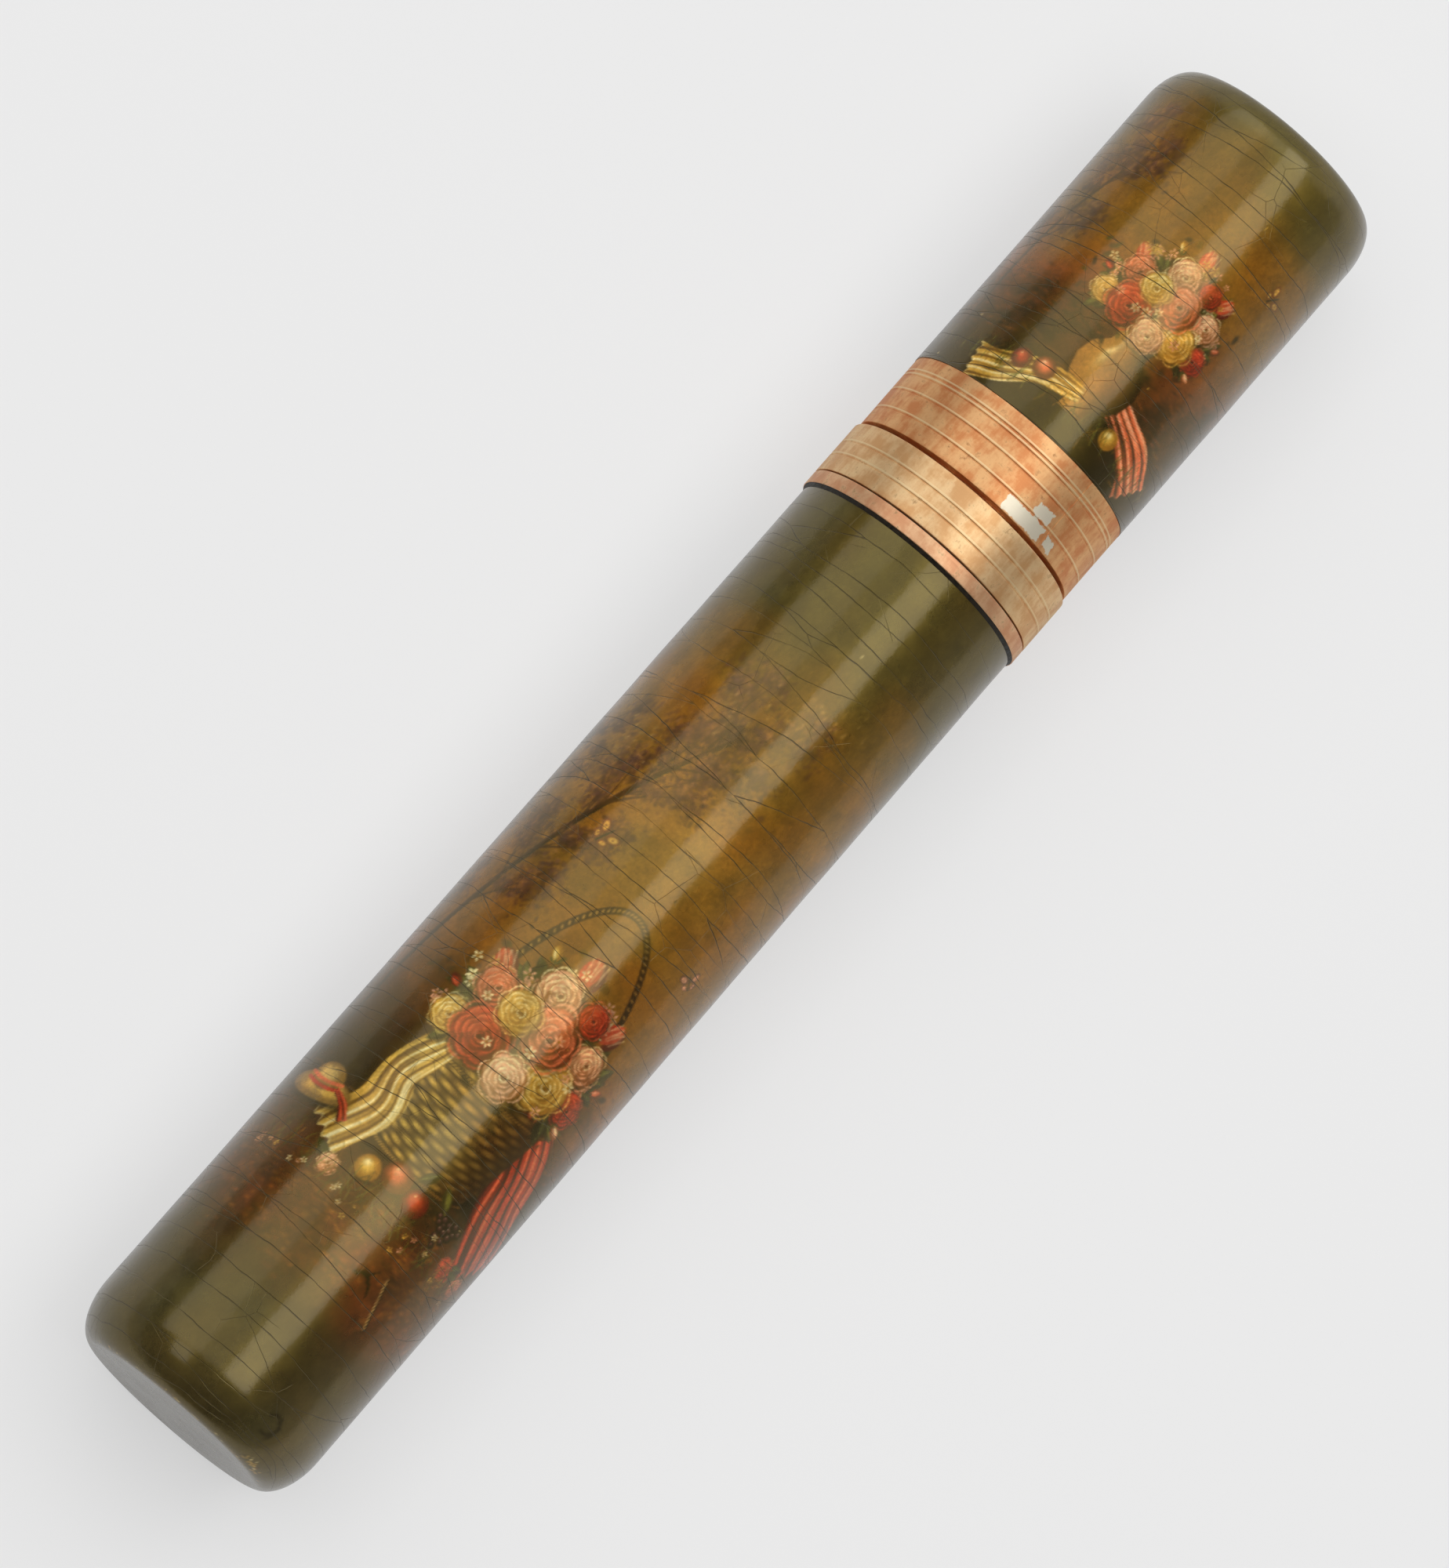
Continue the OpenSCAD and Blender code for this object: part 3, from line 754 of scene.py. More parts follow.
def paint_body(cv):
    p = PAINT
    half = cv.girth / 2
    ground(cv, [
        (cv.low, p["moss"]), (0, p["moss"] * 0.95), (8, p["moss"] * 0.9), (12, mixed("umber", "moss", 0.5)),
        (16, p["russet"] * 0.9), (24, p["umber"] * 1.2), (29, p["night"] * 1.7), (34, p["umber"]),
        (40, mixed("rust", "amber", 0.55)), (50, p["amber"]), (61, p["honey"] * 0.95), (68, p["amber"]),
        (75, mixed("amber", "olive", 0.55)), (80, p["olive"]), (cv.high, p["olive"] * 0.93),
    ])
    autumn = [p["umber"], p["russet"], p["rust"], mixed("rust", "ochre", 0.6)]
    for x, y, wide, tall in ((11, 36, 6, 7), (17, 33, 6, 7), (24, 38, 7, 9), (-24, 34, 7, 8), (-31, 40, 6, 9),
                             (31, 34, 6, 7)):
        bush(cv, (x, y), (wide, tall), autumn[:3], 60)
    for x in np.arange(-half, half, 2.4):
        bush(cv, (x + cv.rng.normal(0, 0.6), 17.5 + 2.2 * math.sin(1.3 * x)), (3.4, 5.5), autumn, 34)
    bank(cv, 27.5, [p["night"], p["earth"], p["umber"]], 26)
    haze = [p["plum"] * 0.85, p["plum"], mixed("plum", "mauve", 0.45), mixed("ochre", "mauve", 0.4)]
    tree(cv, [(-13.5, 27), (-12.8, 38), (-9.5, 50), (-5.5, 60), (-1.5, 68)], 0.5, 6.0, haze, 150, 0.34)
    tree(cv, [(-14.5, 27), (-16.5, 40), (-17.0, 52), (-15.0, 62)], 0.35, 4.6, haze, 100, 0.32)
    tree(cv, [(26, 28), (25, 42), (28.5, 54), (33, 63)], 0.45, 5.5, haze, 110, 0.34)
    for x, y in ((-8, 63), (-3, 69), (1, 72), (4, 74)):
        foliage(cv, (x, y), (3.2, 2.4), [p["moss"], mixed("olive", "ochre", 0.4), mixed("ochre", "cream", 0.4)], 70,
                0.22, 0.5)
    cv.dab((3.0, 26.6), 11, 1.5, 0.02, p["night"] * 0.6, 0.85, 0.8)
    cloth(cv, [(6.5, 35.5), (9.3, 31.5), (10.4, 27.5), (13.4, 23.2)], (1.6, 3.6), RED, 5)
    handle(cv, (1.8, 34.5), 12.4, 17.5)
    basket(cv, (1.8, 26.0), 13.2, 8.6)
    cloth(cv, [(-3.0, 35.0), (-4.4, 31.0), (-4.2, 27.4), (-6.4, 23.4)], (1.3, 2.5), YELLOW, 4)
    bouquet(cv, (1.8, 35.2), 1.12)
    hat(cv, (-9.6, 26.2), 3.9)
    for x, y, r, tones in ((1.0, 24.2, 1.45, PINK), (3.4, 23.6, 1.3, RED), (-1.3, 23.3, 1.2, YELLOW)):
        cv.dab((x + 0.4, y - r * 0.8), r * 1.1, r * 0.4, 0, p["night"], 0.6, 0.9)
        ball(cv, (x, y), r, *tones)
    grapes(cv, (7.0, 24.4), 5)
    leaf(cv, (2.3, 25.0), 0.9, 2.2, p["leaf"])
    leaf(cv, (6.0, 24.6), 2.2, 2.4, p["spring"] * 0.8)
    for x, y, turn, tones in ((-4.0, 21.6, 2.6, PALE), (9.6, 21.8, 0.4, RED), (12.6, 21.4, 2.9, PINK)):
        leaf(cv, (x, y), turn, 2.4, p["leaf"])
        rose(cv, (x, y), 1.0, tones, turn)
    butterfly(cv, (-4.6, 55.5), 1.2, 1.1, "straw", "russet")
    butterfly(cv, (9.4, 51.5), 1.0, 2.3, "blush", "plum")
    # On the far side, an urn of flowers
    cv.dab((-34, 27.4), 8, 1.2, 0, p["night"] * 0.7, 0.7, 0.8)
    vessel(cv, (-34.0, 27.0), 8.2, 11.0, URN, ("umber", "slate", "cream"), 14)
    bouquet(cv, (-34.0, 37.6), 0.75)
    grass(cv, 20.5, 2.6, [p["leaf"], p["spring"] * 0.8, p["ochre"] * 0.7, p["moss"]], 260)
    for k in range(50):
        place = (cv.rng.uniform(-half, half), 20.5 + cv.rng.normal(0, 1.2))
        daisy(cv, place, 0.32, 5, ("cream", "straw", "blush")[k % 3], "ochre", k)
    aged(cv)
    flecks(cv, [p["cream"], p["straw"], p["night"]], 60, 0.1)
    worn_foot(cv)


def paint_cap(cv):
    p = PAINT
    half = cv.girth / 2
    ground(cv, [
        (cv.low, p["night"]), (4, p["earth"]), (8, p["umber"] * 1.3), (12, p["rust"] * 0.95),
        (17, p["amber"]), (22, p["amber"] * 0.96), (26, mixed("amber", "olive", 0.6)),
        (29, p["olive"]), (cv.high, p["olive"] * 0.85),
    ])
    for x in np.arange(-half, half, 2.6):
        shades = [p["night"], p["umber"], p["russet"], p["rust"]]
        bush(cv, (x, 8 + 1.5 * math.sin(2 * x)), (3.4, 4.5), shades, 26)
    bank(cv, 5.5, [p["night"], p["earth"], p["umber"]], 26)
    haze = [p["plum"] * 0.85, p["plum"], mixed("plum", "mauve", 0.45), mixed("ochre", "mauve", 0.4)]
    tree(cv, [(-12.5, 4), (-12.0, 13), (-9.0, 22)], 0.35, 4.4, haze, 130, 0.32)
    tree(cv, [(24, 3), (26, 13), (29, 22)], 0.35, 4.4, haze, 110, 0.32)
    cv.dab((2.5, 3.6), 7.5, 1.1, 0, p["night"] * 0.6, 0.85, 0.8)
    cloth(cv, [(2.6, 6.0), (5.6, 4.8), (8.6, 3.4), (10.6, 1.6)], (0.9, 2.0), PINK, 4)
    vessel(cv, (1.6, 2.6), 6.4, 8.4, JAR, ("umber", "rust", "straw"))
    bouquet(cv, (1.6, 11.0), 0.82)
    cloth(cv, [(1.0, 4.2), (-2.6, 3.6), (-5.8, 2.0), (-8.2, 1.4)], (0.7, 1.7), YELLOW, 4)
    for x, y, r, tones in ((-2.6, 4.0, 1.1, PINK), (-4.6, 3.6, 1.0, RED), (5.2, 3.2, 1.0, YELLOW)):
        ball(cv, (x, y), r, *tones)
    butterfly(cv, (8.4, 21.0), 1.0, 0.8, "straw", "russet")
    vessel(cv, (-33, 3.0), 5.6, 7.6, URN, ("umber", "slate", "cream"), 12)
    bouquet(cv, (-33, 10.2), 0.6)
    grass(cv, 2.0, 2.2, [p["leaf"], p["spring"] * 0.8, p["ochre"] * 0.7], 170)
    aged(cv)
    flecks(cv, [p["cream"], p["straw"], p["night"]], 34, 0.1)


def paint_piece(piece, cv, rise):
    """Gives a painted coat its colours, where rise turns a station and radius into a height on the canvas."""
    mesh = piece.data
    places = np.zeros(len(mesh.vertices) * 3)
    mesh.vertices.foreach_get("co", places)
    x, y, z = places.reshape(-1, 3).T / MM
    turn = np.arctan2(-y, z - AXIS)
    colours = np.ones((len(x), 4))
    height = rise(x, np.hypot(y, z - AXIS))
    colours[:, :3] = linear(np.clip(cv.colours_at(turn * cv.girth / (2 * math.pi), height), 0, 1))
    layer = mesh.color_attributes.new("paint", "FLOAT_COLOR", "POINT")
    layer.data.foreach_set("color", colours.astype(np.float32).ravel())


# Materials


class Nodes:
    """Short ways to add nodes to a tree."""

    def __init__(self, tree):
        self.tree = tree

    def feed(self, socket, value):
        if isinstance(value, bpy.types.NodeSocket):
            self.tree.links.new(value, socket)
        else:
            socket.default_value = value

    def node(self, kind, inputs=(), **settings):
        made = self.tree.nodes.new(kind)
        for key, value in settings.items():
            setattr(made, key, value)
        for key, value in dict(inputs).items():
            self.feed(made.inputs[key], value)
        return made

    def math(self, operation, *values):
        return self.node("ShaderNodeMath", enumerate(values), operation=operation).outputs[0]

    def vector(self, operation, *values, scale=None):
        made = self.node("ShaderNodeVectorMath", enumerate(values), operation=operation)
        if scale is not None:
            self.feed(made.inputs["Scale"], scale)
        return made.outputs["Value" if operation in ("DOT_PRODUCT", "LENGTH") else "Vector"]

    def split(self, vector):
        return self.node("ShaderNodeSeparateXYZ", {0: vector}).outputs

    def step(self, value, low, high, start=0.0, end=1.0):
        """start below low, end above high, and smooth between."""
        made = self.node(
            "ShaderNodeMapRange",
            {"Value": value, "From Min": low, "From Max": high, "To Min": start, "To Max": end},
            interpolation_type="SMOOTHSTEP",
        )
        return made.outputs[0]

    def mix(self, share, a, b, blend="MIX"):
        made = self.node("ShaderNodeMix", {0: share, 6: a, 7: b}, data_type="RGBA", blend_type=blend)
        return made.outputs[2]

    def ramp(self, value, stops):
        """Colours along 0 to 1, as (place, colour) pairs."""
        made = self.node("ShaderNodeValToRGB", {0: value})
        marks = made.color_ramp.elements
        while len(marks) < len(stops):
            marks.new(0.5)
        for mark, (place, colour) in zip(marks, stops):
            mark.position = place
            mark.color = colour
        return made.outputs[0]


class Look(Nodes):
    """A material and what its patterns start from."""

    def __init__(self, name, **shader):
        self.material = bpy.data.materials.new(name)
        self.material.use_nodes = True
        super().__init__(self.material.node_tree)
        self.shader = self.tree.nodes["Principled BSDF"]
        for key, value in shader.items():
            self.shader.inputs[key.replace("_", " ").title().replace("Ior", "IOR")].default_value = value
        coords = self.node("ShaderNodeTexCoord").outputs
        self.mm = self.vector("SCALE", coords["Object"], scale=1 / MM)
        self.normal = coords["Normal"]
        self.x, self.y, z = self.split(self.mm)
        self.z = self.math("SUBTRACT", z, AXIS)
        self.turn = self.math("ARCTAN2", self.math("MULTIPLY", self.y, -1), self.z)

    def noise(self, size, stretch=(1, 1, 1), detail=2.0, rough=0.5, where=None, colour=False):
        """Noise about 0.5 whose blotches are size mm across, times stretch along each axis."""
        place = self.vector("DIVIDE", where or self.mm, tuple(size * s for s in stretch))
        made = self.node("ShaderNodeTexNoise", {"Vector": place, "Scale": 1, "Detail": detail, "Roughness": rough})
        return made.outputs["Color" if colour else "Fac"]

    def relief(self, height, strength=1.0, normal=None):
        """A normal from a height in millimetres."""
        made = self.node("ShaderNodeBump", {"Height": height, "Distance": MM, "Strength": strength})
        if normal is not None:
            self.feed(made.inputs["Normal"], normal)
        return made.outputs[0]

    def finish(self, **links):
        """Links values to the shader's sockets and gives the material."""
        for key, value in links.items():
            self.feed(self.shader.inputs[key.replace("_", " ")], value)
        return self.material


def crack_net(look, along, around, shift, warp):
    """Distance in mm from a net of cracks whose cells are that long along and round the case, and how squarely
    the nearest crack runs round it."""
    moved = look.vector("SUBTRACT", look.noise(5, colour=True, detail=3), (0.5, 0.5, 0.5))
    bent = look.vector("ADD", look.mm, look.vector("SCALE", moved, scale=warp))
    shape = (1 / along, 1 / around, 1 / around)
    place = look.vector("ADD", look.vector("MULTIPLY", bent, shape), (shift, shift, shift))
    first, second = (
        look.node("ShaderNodeTexVoronoi", {"Vector": place, "Scale": 1}, feature=feature).outputs["Position"]
        for feature in ("F1", "F2")
    )
    across = look.vector("SUBTRACT", second, first)
    middle = look.vector("SCALE", look.vector("ADD", first, second), scale=0.5)
    gap = look.math("ABSOLUTE", look.vector("DOT_PRODUCT", look.vector("SUBTRACT", place, middle), across))
    slope = look.vector("MULTIPLY", across, shape)
    sunk = look.vector("SCALE", look.normal, scale=look.vector("DOT_PRODUCT", slope, look.normal))
    flat = look.vector("SUBTRACT", slope, sunk)
    square = look.math("ABSOLUTE", look.split(look.vector("NORMALIZE", flat))[0])
    return look.math("DIVIDE", gap, look.vector("LENGTH", flat)), square


def lacquer_look(name):
    """Painted lacquer with a golden sheen in its depth, under clear varnish that has cracked."""
    look = Look(name, ior=1.55, specular_ior_level=1.0, specular_tint=GOLD_SHEEN, coat_weight=1.0,
                coat_roughness=0.12, coat_ior=1.4)
    paint = look.node("ShaderNodeAttribute", attribute_name="paint").outputs["Color"]
    broad, square = crack_net(look, 2.3, 26, 3.7, 0.9)
    kept = look.step(look.noise(3.5, (1, 3, 3), detail=1), 0.36, 0.5, 0.4, 1.0)
    strong = look.math("MULTIPLY", look.step(square, 0.6, 0.95, 0.3, 1.0), kept)
    width = look.step(look.noise(2.2, detail=1), 0.35, 0.65, 0.022, 0.046)
    crack = look.math("MULTIPLY", look.step(look.math("DIVIDE", broad, width), 0.5, 1.2, 0.9, 0.0), strong)
    fine, _ = crack_net(look, 4.2, 5.5, 8.1, 0.9)
    some = look.step(look.noise(7, detail=1), 0.48, 0.6)
    hair = look.math("MULTIPLY", look.step(fine, 0.008, 0.03, 0.45, 0.0), some)
    cracks = look.math("MAXIMUM", crack, hair)
    grain = look.noise(0.22, detail=3, rough=0.6)
    mottle = look.noise(1.1, detail=3, rough=0.6)
    shade = look.math("MULTIPLY", look.step(grain, 0.25, 0.75, 0.9, 1.1), look.step(mottle, 0.3, 0.7, 0.94, 1.06))
    colour = look.vector("SCALE", paint, scale=shade)
    colour = look.mix(cracks, colour, rgba(0.09, 0.06, 0.035))
    polish = look.step(look.noise(3, detail=3), 0.3, 0.7, 0.24, 0.34)
    rough = look.math("ADD", polish, look.math("MULTIPLY", cracks, 0.3))
    height = look.math("MULTIPLY", cracks, -0.03)
    height = look.math("ADD", height, look.math("MULTIPLY", look.noise(1.4, detail=2), 0.012))
    normal = look.relief(look.math("ADD", height, look.math("MULTIPLY", grain, 0.004)))
    return look.finish(Base_Color=colour, Roughness=rough, Normal=normal, Coat_Normal=normal)


def metal_look(name, tones, rough, turned, lines=(), bare=()):
    """Worn copper-gold: pale where rubbed, deep and brown where tarnished, with fine marks of the lathe.

    lines holds the stations of painted highlights, pale lines just beside the turned grooves. bare holds patches
    rubbed to pale metal, each as its first and last station and its first and last angle.
    """
    pale, deep, brown = (rgba(*tone) for tone in tones)
    look = Look(name, metallic=0.8)
    marks = look.noise(0.12, (1, 60, 60), detail=3, rough=0.7)
    streaks = look.noise(0.9, (6, 1, 1), detail=4, rough=0.65)
    clouds = look.noise(1.8, detail=5, rough=0.65)
    wear = look.math("ADD", look.math("MULTIPLY", clouds, 0.65), look.math("MULTIPLY", streaks, 0.35))
    colour = look.mix(look.step(wear, 0.4, 0.6), deep, pale)
    stain = look.step(look.noise(0.9, detail=6, rough=0.75), 0.55, 0.72)
    colour = look.mix(look.math("MULTIPLY", stain, 0.65), colour, brown)
    # Painted highlight: a pale line beside each turned groove, where its edge would catch the light
    for at in lines:
        off = look.math("ABSOLUTE", look.math("SUBTRACT", look.x, at))
        colour = look.mix(look.step(off, 0.03, 0.1, 0.7, 0.0), colour, rgba(*GROOVE_HIGHLIGHT))
    ragged = look.math("MULTIPLY", look.math("SUBTRACT", look.noise(0.6, detail=4, rough=0.6), 0.5), 0.9)
    for first, last, start, stop in bare:
        along = look.math("ABSOLUTE", look.math("SUBTRACT", look.x, (first + last) / 2))
        around = look.math("MULTIPLY", look.math("ABSOLUTE", look.math("SUBTRACT", look.turn, (start + stop) / 2)), AXIS)
        deep_in = look.math("MINIMUM", look.math("SUBTRACT", (last - first) / 2, along),
                            look.math("SUBTRACT", (stop - start) / 2 * AXIS, around))
        inside = look.step(look.math("ADD", deep_in, ragged), 0.0, 0.1, 0.0, 0.92)
        colour = look.mix(inside, colour, rgba(*BARE))
    polish = look.step(look.math("ADD", marks, look.math("MULTIPLY", stain, 0.5)), 0.3, 1.0, *rough)
    height = look.math("ADD", look.math("MULTIPLY", marks, turned), look.math("MULTIPLY", streaks, 0.006))
    return look.finish(Base_Color=colour, Roughness=polish, Normal=look.relief(height))


def shell_look():
    """Polished dark tortoiseshell with amber clouds."""
    look = Look("tortoiseshell", coat_weight=0.6, coat_roughness=0.1)
    clouds = look.noise(3.2, (2, 1, 1), detail=4, rough=0.6)
    stops = ((0.36, rgba(0.1, 0.045, 0.02)), (0.5, rgba(0.3, 0.12, 0.04)), (0.66, rgba(0.62, 0.33, 0.1)))
    colour = look.ramp(clouds, stops)
    scratches = look.noise(0.25, (30, 1, 1), detail=2)
    rough = look.step(scratches, 0.3, 0.7, 0.22, 0.4)
    return look.finish(Base_Color=colour, Roughness=rough, Normal=look.relief(look.math("MULTIPLY", scratches, 0.004)))


def board_look():
    """Rolled paper board: brown, fibrous, with the edges of its layers."""
    look = Look("paper_board")
    fibres = look.noise(0.4, (5, 1, 1), detail=5, rough=0.7)
    stops = ((0.3, rgba(0.5, 0.4, 0.28)), (0.7, rgba(0.74, 0.64, 0.48)))
    rough = look.step(fibres, 0.2, 0.8, 0.7, 0.9)
    normal = look.relief(look.math("MULTIPLY", fibres, 0.05))
    return look.finish(Base_Color=look.ramp(fibres, stops), Roughness=rough, Normal=normal)


def wood_look():
    """Turned fruitwood, its grain along the case."""
    look = Look("fruitwood")
    grain = look.noise(0.5, (14, 1, 1), detail=4, rough=0.65)
    stops = ((0.3, rgba(0.5, 0.34, 0.2)), (0.7, rgba(0.76, 0.58, 0.38)))
    rough = look.step(grain, 0.2, 0.8, 0.5, 0.7)
    normal = look.relief(look.math("MULTIPLY", grain, 0.03))
    return look.finish(Base_Color=look.ramp(grain, stops), Roughness=rough, Normal=normal)


def mastic_look():
    """Black pitch, a little lumpy."""
    look = Look("pitch_mastic", specular_ior_level=0.4)
    lumps = look.noise(0.3, detail=4, rough=0.6)
    stops = ((0.3, rgba(0.05, 0.035, 0.02)), (0.75, rgba(0.17, 0.13, 0.07)))
    rough = look.step(lumps, 0.2, 0.8, 0.35, 0.65)
    normal = look.relief(look.math("MULTIPLY", lumps, 0.05))
    return look.finish(Base_Color=look.ramp(lumps, stops), Roughness=rough, Normal=normal)


def dress(node, material):
    """Gives a CAD node, which stays as it is, its material."""
    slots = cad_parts[node].material_slots
    if not slots:
        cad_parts[node].data.materials.append(material)
    for one in slots:
        one.material = material


# The pieces

CLOSE_ROWS = 0.12
WIDE_ROWS = 0.3
COAT_WAVES = (7.0, 0.03)
BAND_WAVES = (9.0, 0.02)


def make_coat(name, node, body, shoulder_size, open_radius, motif, seed, material, paint):
    """A painted coat, closed and rounded at one end, whose open edge has its own radius.

    motif is the stretch, measured from the closed end, whose rows of points lie close enough for the painted motif.
    """
    low, high, edge = spans(node)
    way, end = (1, low) if body == "body" else (-1, high)
    length = high - low
    wide, long = shoulder_size
    outer = shoulder(edge, wide, long)
    inner = shoulder(edge, wide, long, COAT, 10)

    def row_gap(depth):
        return CLOSE_ROWS if motif[0] < depth < motif[1] else WIDE_ROWS

    side = finer([outer[-1], (length, open_radius)], row_gap)
    face = [(0, r) for r in np.linspace(0, edge - wide, 30)[:-1]]
    under = finer([(length, open_radius - COAT), inner[-1]], 8) + inner[-2::-1]
    outline = [(end + way * depth, r) for depth, r in face + outer[:-1] + side + under + [(COAT, 0)]]

    def relief(station, radius, turn):
        return waves(station, turn, seed, *COAT_WAVES) * (radius > 1)

    coat = lathe(name, outline, body, [node], even_turns(400, 0.5), relief)
    depths = [depth for depth, _ in outer]
    runs = np.concatenate([[0], np.cumsum(np.hypot(*np.diff(np.array(outer), axis=0).T))])
    added = runs[-1] - long

    def rise(station, radius):
        """Height on the canvas, which the straight side gives and the shoulder and the flat end carry on."""
        depth = way * (station - end)
        curved = np.where(depth < long, np.interp(depth, depths, runs) - added, depth)
        height = np.where(radius < edge - wide, radius - (edge - wide) - added, curved)
        return height if way > 0 else length - height

    reach = added + edge - wide
    first, last = (-reach, length) if way > 0 else (0, length + reach)
    canvas = Canvas(2 * math.pi * edge, first - 0.1, last + 0.1, seed)
    paint(canvas)
    paint_piece(coat, canvas, rise)
    coat.data.materials.append(material)


def arc_edge(start, way, outer):
    """The rounded outer edge of a ring whose end lies at start."""
    turns = np.linspace(0, math.pi / 2, 5)
    return [(start + way * BEVEL * (1 - math.cos(t)), outer - BEVEL * (1 - math.sin(t))) for t in turns]


def turned_lines(start, outer, lines):
    """Points of the shallow grooves that lie at those distances from start."""
    points = []
    for at in sorted(lines):
        for off in (-1, -0.5, -0.12, 0.12, 0.5, 1):
            depth = LINE_DEPTH * (1 - abs(off)) if abs(off) > 0.2 else LINE_DEPTH
            points.append((start + at + off * LINE_HALF / 2, outer - depth))
    return points


def make_band(name, node, body, lines, seam, seed, material, flange=None):
    """A ring with rounded edges, turned lines and its solder seam.

    flange is the radius that a lip reaches in to, and the end of the ring that it stands at.
    """
    start, end, outer = spans(node)
    inner = outer - RING_WALL
    outline = arc_edge(start, 1, outer) + turned_lines(start, outer, lines) + arc_edge(end, -1, outer)[::-1]
    if flange is None:
        outline += [(end, inner), (start, inner)]
    elif flange[1] == "end":
        outline += [(end, flange[0]), (end - FLANGE, flange[0]), (end - FLANGE, inner), (start, inner)]
    else:
        outline += [(end, inner), (start + FLANGE, inner), (start + FLANGE, flange[0]), (start, flange[0])]
    outline = finer(outline + outline[:1], 0.35)[:-1]

    def relief(station, radius, turn):
        skin = radius > outer - LINE_DEPTH - 0.03
        return (waves(station, turn, seed, *BAND_WAVES) + notch(turn, seam, SEAM_DEPTH)) * skin

    band = lathe(name, outline, body, [node], with_seam(even_turns(300), seam), relief)
    band.data.materials.append(material)


def make_pieces():
    lacquer = lacquer_look("painted_lacquer")
    throat_from = spans("throat_ring")[0]
    mouth = spans("cap_ring")[0]
    narrow = metal_look("collar_gold", ((0.96, 0.78, 0.6), (0.88, 0.64, 0.47), (0.52, 0.43, 0.25)), (0.4, 0.56), 0.006)
    # The stations 0.2 mm past the turned lines carry painted highlights beside the grooves
    copper = metal_look("copper_gold", ((0.98, 0.83, 0.62), (0.9, 0.69, 0.47), (0.7, 0.49, 0.3)), (0.4, 0.56), 0.006,
                        [throat_from + at + 0.2 for at in THROAT_LINES])
    patches = [(mouth + first, mouth + last, math.radians(start), math.radians(stop))
               for first, last, start, stop in BARE_PATCHES]
    # The stations 0.2 mm past the cap's turned lines carry painted highlights beside its grooves
    red_copper = metal_look("copper_red", ((0.96, 0.75, 0.52), (0.88, 0.58, 0.36), (0.7, 0.41, 0.23)), (0.42, 0.58),
                            0.006, [mouth + at + 0.2 for at in CAP_LINES], patches)
    rubbed = metal_look("rubbed_throat", ((0.9, 0.68, 0.45), (0.78, 0.5, 0.32), (0.45, 0.26, 0.15)), (0.22, 0.4),
                        0.004)
    shell, board, wood, pitch = shell_look(), board_look(), wood_look(), mastic_look()
    ring_r = spans("throat_ring")[2]
    make_coat("body_painted_coat", "body_lacquer", "body", BASE_SHOULDER, ring_r - RING_PROUD, (18, 66), 11, lacquer,
              paint_body)
    cap_ring_r = spans("cap_ring")[2]
    make_coat("cap_painted_coat", "cap_lacquer", "cap", CAP_SHOULDER, cap_ring_r + CAP_RING_INSET, (8, 33), 23, lacquer,
              paint_cap)
    make_band("narrow_collar_band", "collar_ring", "body", (), COLLAR_SEAM, 7, narrow)
    make_band("broad_throat_band", "throat_ring", "body", THROAT_LINES, THROAT_SEAM, 8, copper,
              (spans("throat_sleeve")[2], "end"))
    make_band("cap_mouth_band", "cap_ring", "cap", CAP_LINES, CAP_SEAM, 9, red_copper,
              (spans("cap_bezel")[2], "start"))
    for node, material in (
        ("body_tube", board), ("cap_tube", board), ("body_end_plug", wood), ("cap_end_plug", wood),
        ("body_lining", shell), ("body_lining_floor", shell), ("cap_lining", shell), ("cap_lining_ceiling", shell),
        ("collar_bedding", pitch), ("cap_ring_bedding", pitch), ("throat_sleeve", rubbed), ("cap_bezel", rubbed),
    ):
        dress(node, material)


# The studio

FLOOR_TONE = 0.823
FLOOR_GLOW = 0.806
# Painted reflection: the tone that the table shows in gloss, dimmer than to the eye, which darkens its reflection on
# the case
FLOOR_IN_GLOSS = 0.4
GLOW_SHARE = 0.65


def sheet_material(name):
    """Pale table top: it glows with its own tone to the eye and with a dimmer, painted tone in gloss, and keeps part of
    the shadows.
    """
    material = bpy.data.materials.new(name)
    material.use_nodes = True
    n = Nodes(material.node_tree)
    n.tree.nodes.remove(n.tree.nodes["Principled BSDF"])
    path = n.node("ShaderNodeLightPath").outputs
    seen = n.math("MAXIMUM", path["Is Camera Ray"], path["Is Glossy Ray"])
    seen = n.math("MAXIMUM", seen, path["Is Transmission Ray"])
    # Painted reflection: in gloss the table glows with a dimmer tone than to the eye
    tone = n.node("ShaderNodeMix", {0: path["Is Glossy Ray"], 2: FLOOR_GLOW, 3: FLOOR_IN_GLOSS}).outputs[0]
    glow = n.node("ShaderNodeEmission", {"Color": tone})
    lit = n.node("ShaderNodeBsdfDiffuse", {"Color": (0.9, 0.9, 0.9, 1)})
    share = n.math("MULTIPLY", seen, GLOW_SHARE)
    both = n.node("ShaderNodeMixShader", {0: share, 1: lit.outputs[0], 2: glow.outputs[0]})
    n.feed(n.tree.nodes["Material Output"].inputs["Surface"], both.outputs[0])
    return material


def make_floor():
    half = 3.0
    mesh = bpy.data.meshes.new("table_top")
    mesh.from_pydata([(-half, -half, 0), (half, -half, 0), (half, half, 0), (-half, half, 0)], [], [(0, 1, 2, 3)])
    floor = bpy.data.objects.new("table_top", mesh)
    bpy.context.scene.collection.objects.link(floor)
    floor.data.materials.append(sheet_material("pale_table"))


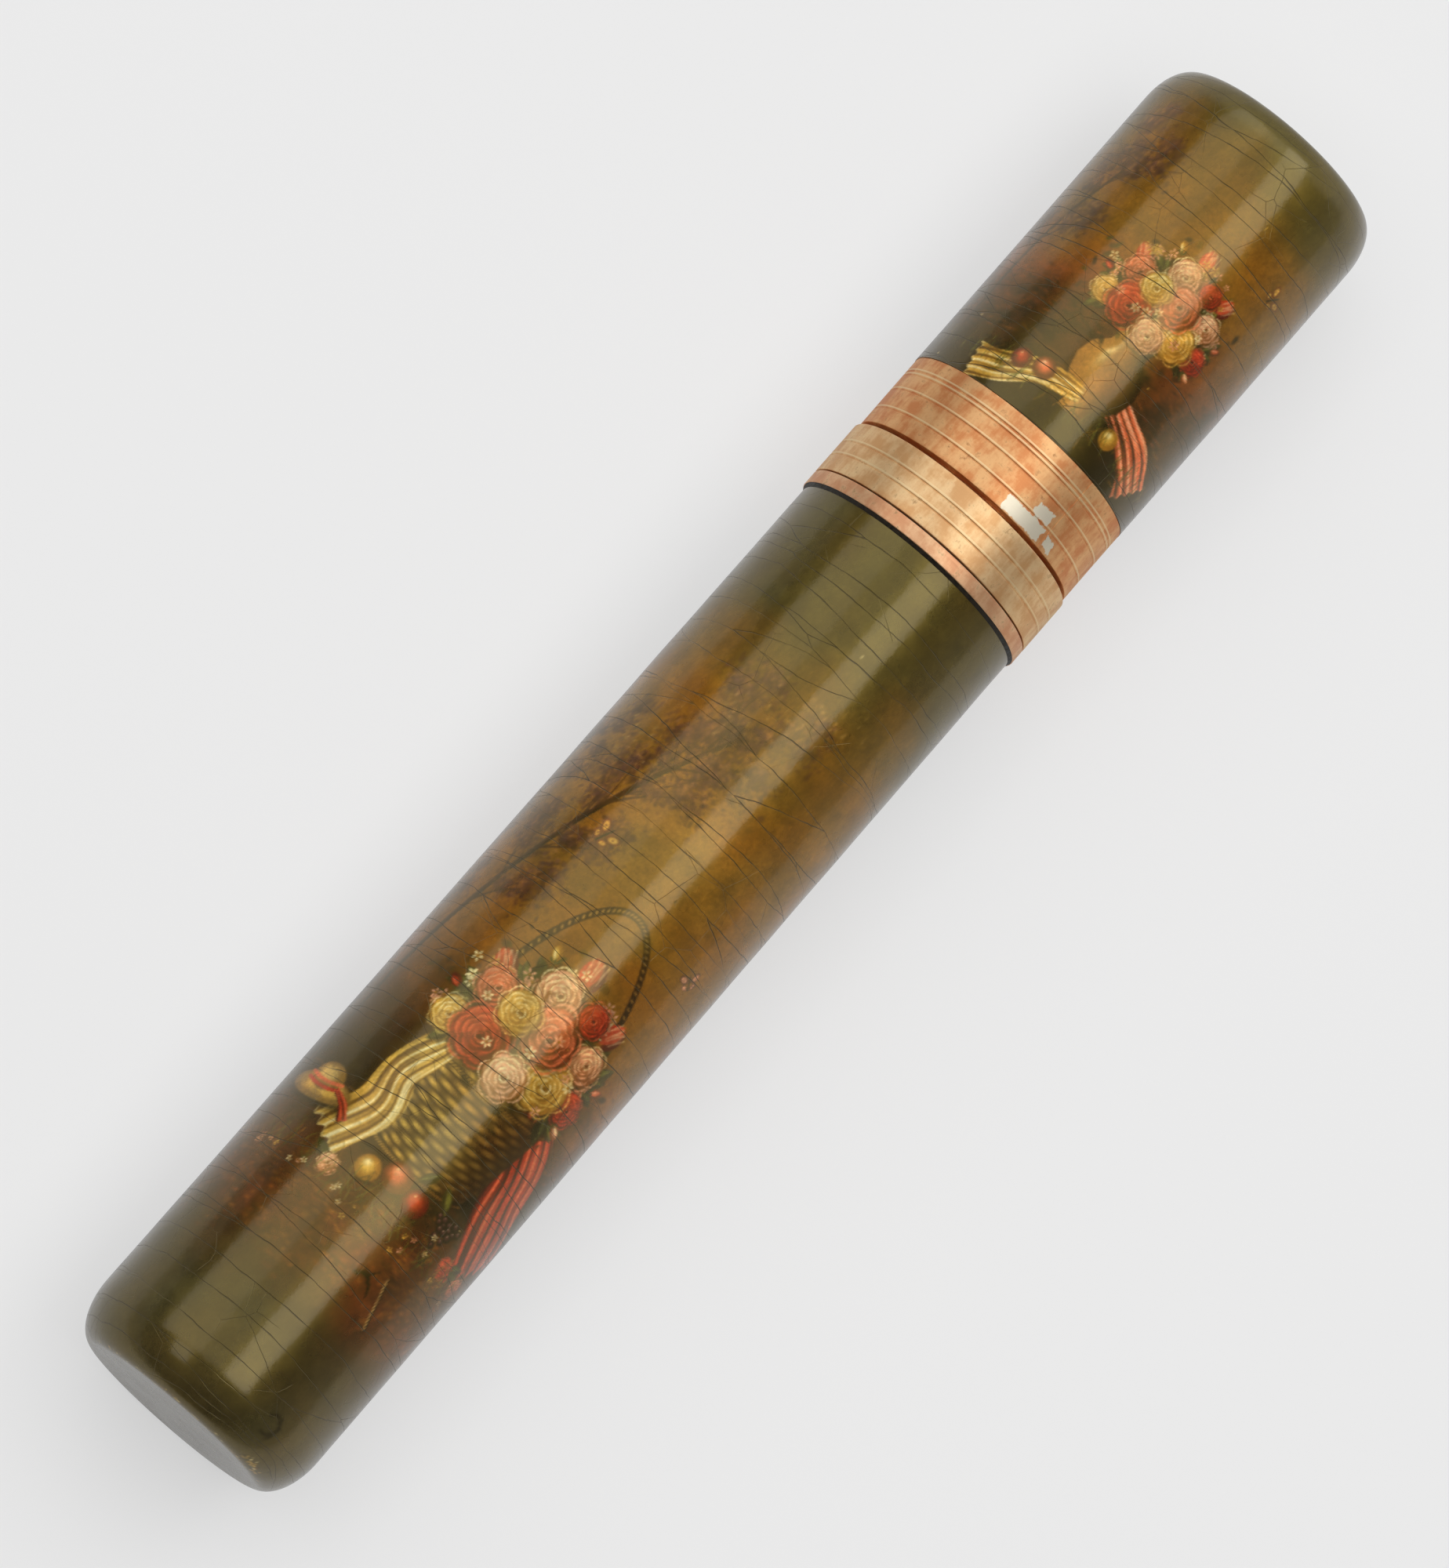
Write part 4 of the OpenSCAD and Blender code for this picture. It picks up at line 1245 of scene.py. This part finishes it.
def make_panel(name, tilt, width, reach, along, radiance):
    """A soft lamp panel that runs along the case, turned to face it; tilt is from the vertical towards -Y."""
    lamp = bpy.data.lights.new(name, "AREA")
    lamp.shape = "RECTANGLE"
    size_across = 2 * reach * math.tan(math.radians(width) / 2)
    size_along = along[1] - along[0]
    lamp.size, lamp.size_y = size_along, size_across
    lamp.energy = math.pi * size_along * size_across * radiance
    panel = bpy.data.objects.new(name, lamp)
    t = math.radians(tilt)
    panel.location = (sum(along) / 2, -reach * math.sin(t), reach * math.cos(t))
    panel.rotation_euler = (t, 0, 0)
    panel.visible_camera = False
    bpy.context.scene.collection.objects.link(panel)


def make_fill(height, size, radiance):
    """A broad lamp overhead that lights paint and table evenly and doesn't show in gloss."""
    lamp = bpy.data.lights.new("fill_lamp", "AREA")
    lamp.size = size
    lamp.energy = math.pi * size * size * radiance
    fill = bpy.data.objects.new("fill_lamp", lamp)
    fill.location = (0, 0, height)
    fill.visible_camera = False
    fill.visible_glossy = False
    bpy.context.scene.collection.objects.link(fill)


def make_world():
    """A dim room with a pale backdrop at its foot, which the camera sees as pale as the table."""
    world = bpy.data.worlds.new("studio")
    bpy.context.scene.world = world
    world.use_nodes = True
    n = Nodes(world.node_tree)
    background = n.tree.nodes["Background"]
    path = n.node("ShaderNodeLightPath").outputs
    x, y, z = n.split(n.node("ShaderNodeTexCoord").outputs["Generated"])
    tilt = n.math("DIVIDE", n.math("ARCTAN2", n.math("MULTIPLY", y, -1), z), math.pi)
    low_left = n.step(tilt, math.radians(-76) / math.pi, math.radians(-72) / math.pi, 0.2, 0.02)
    right = n.step(tilt, math.radians(50) / math.pi, math.radians(85) / math.pi, 0.03, 0.2)
    beyond = n.step(x, 0.45, 0.6, 0.0, 0.45)
    room = n.math("ADD", n.math("ADD", low_left, right), beyond)
    tone = n.node("ShaderNodeMix", {0: path["Is Camera Ray"], 2: room, 3: FLOOR_TONE}).outputs[0]
    n.feed(background.inputs["Color"], tone)


def make_camera():
    """The photograph's camera, high above the case and a little towards its base."""
    aim = Vector((-0.0009, 0, AXIS * MM))
    tilt, turn, distance = math.radians(10.53), math.radians(48.9), 0.949
    back = Vector((-math.sin(tilt), 0, math.cos(tilt)))
    along = Vector((math.cos(tilt), 0, math.sin(tilt)))
    across = Vector((0, -1, 0))
    right = along * math.cos(turn) + across * math.sin(turn)
    up = along * math.sin(turn) - across * math.cos(turn)
    data = bpy.data.cameras.new("camera")
    data.lens, data.sensor_width = 275.5, 36
    camera = bpy.data.objects.new("camera", data)
    camera.matrix_world = Matrix.Translation(aim + back * distance) @ Matrix((right, up, back)).transposed().to_4x4()
    bpy.context.scene.collection.objects.link(camera)
    bpy.context.scene.camera = camera


def main():
    bpy.context.scene.view_settings.view_transform = "Standard"
    make_camera()
    make_floor()
    make_world()
    make_panel("key_panel", -37.5, 40, 1.0, (-0.15, 1.2), 0.96)
    make_panel("end_panel", -31, 18, 1.0, (-0.5, -0.17), 1.2)
    make_panel("top_panel", -6, 22, 1.05, (-0.15, 1.2), 0.55)
    make_panel("bright_panel", 20.5, 27, 1.0, (-0.15, 1.2), 1.9)
    make_fill(1.4, 1.6, 1.3)
    make_pieces()


main()
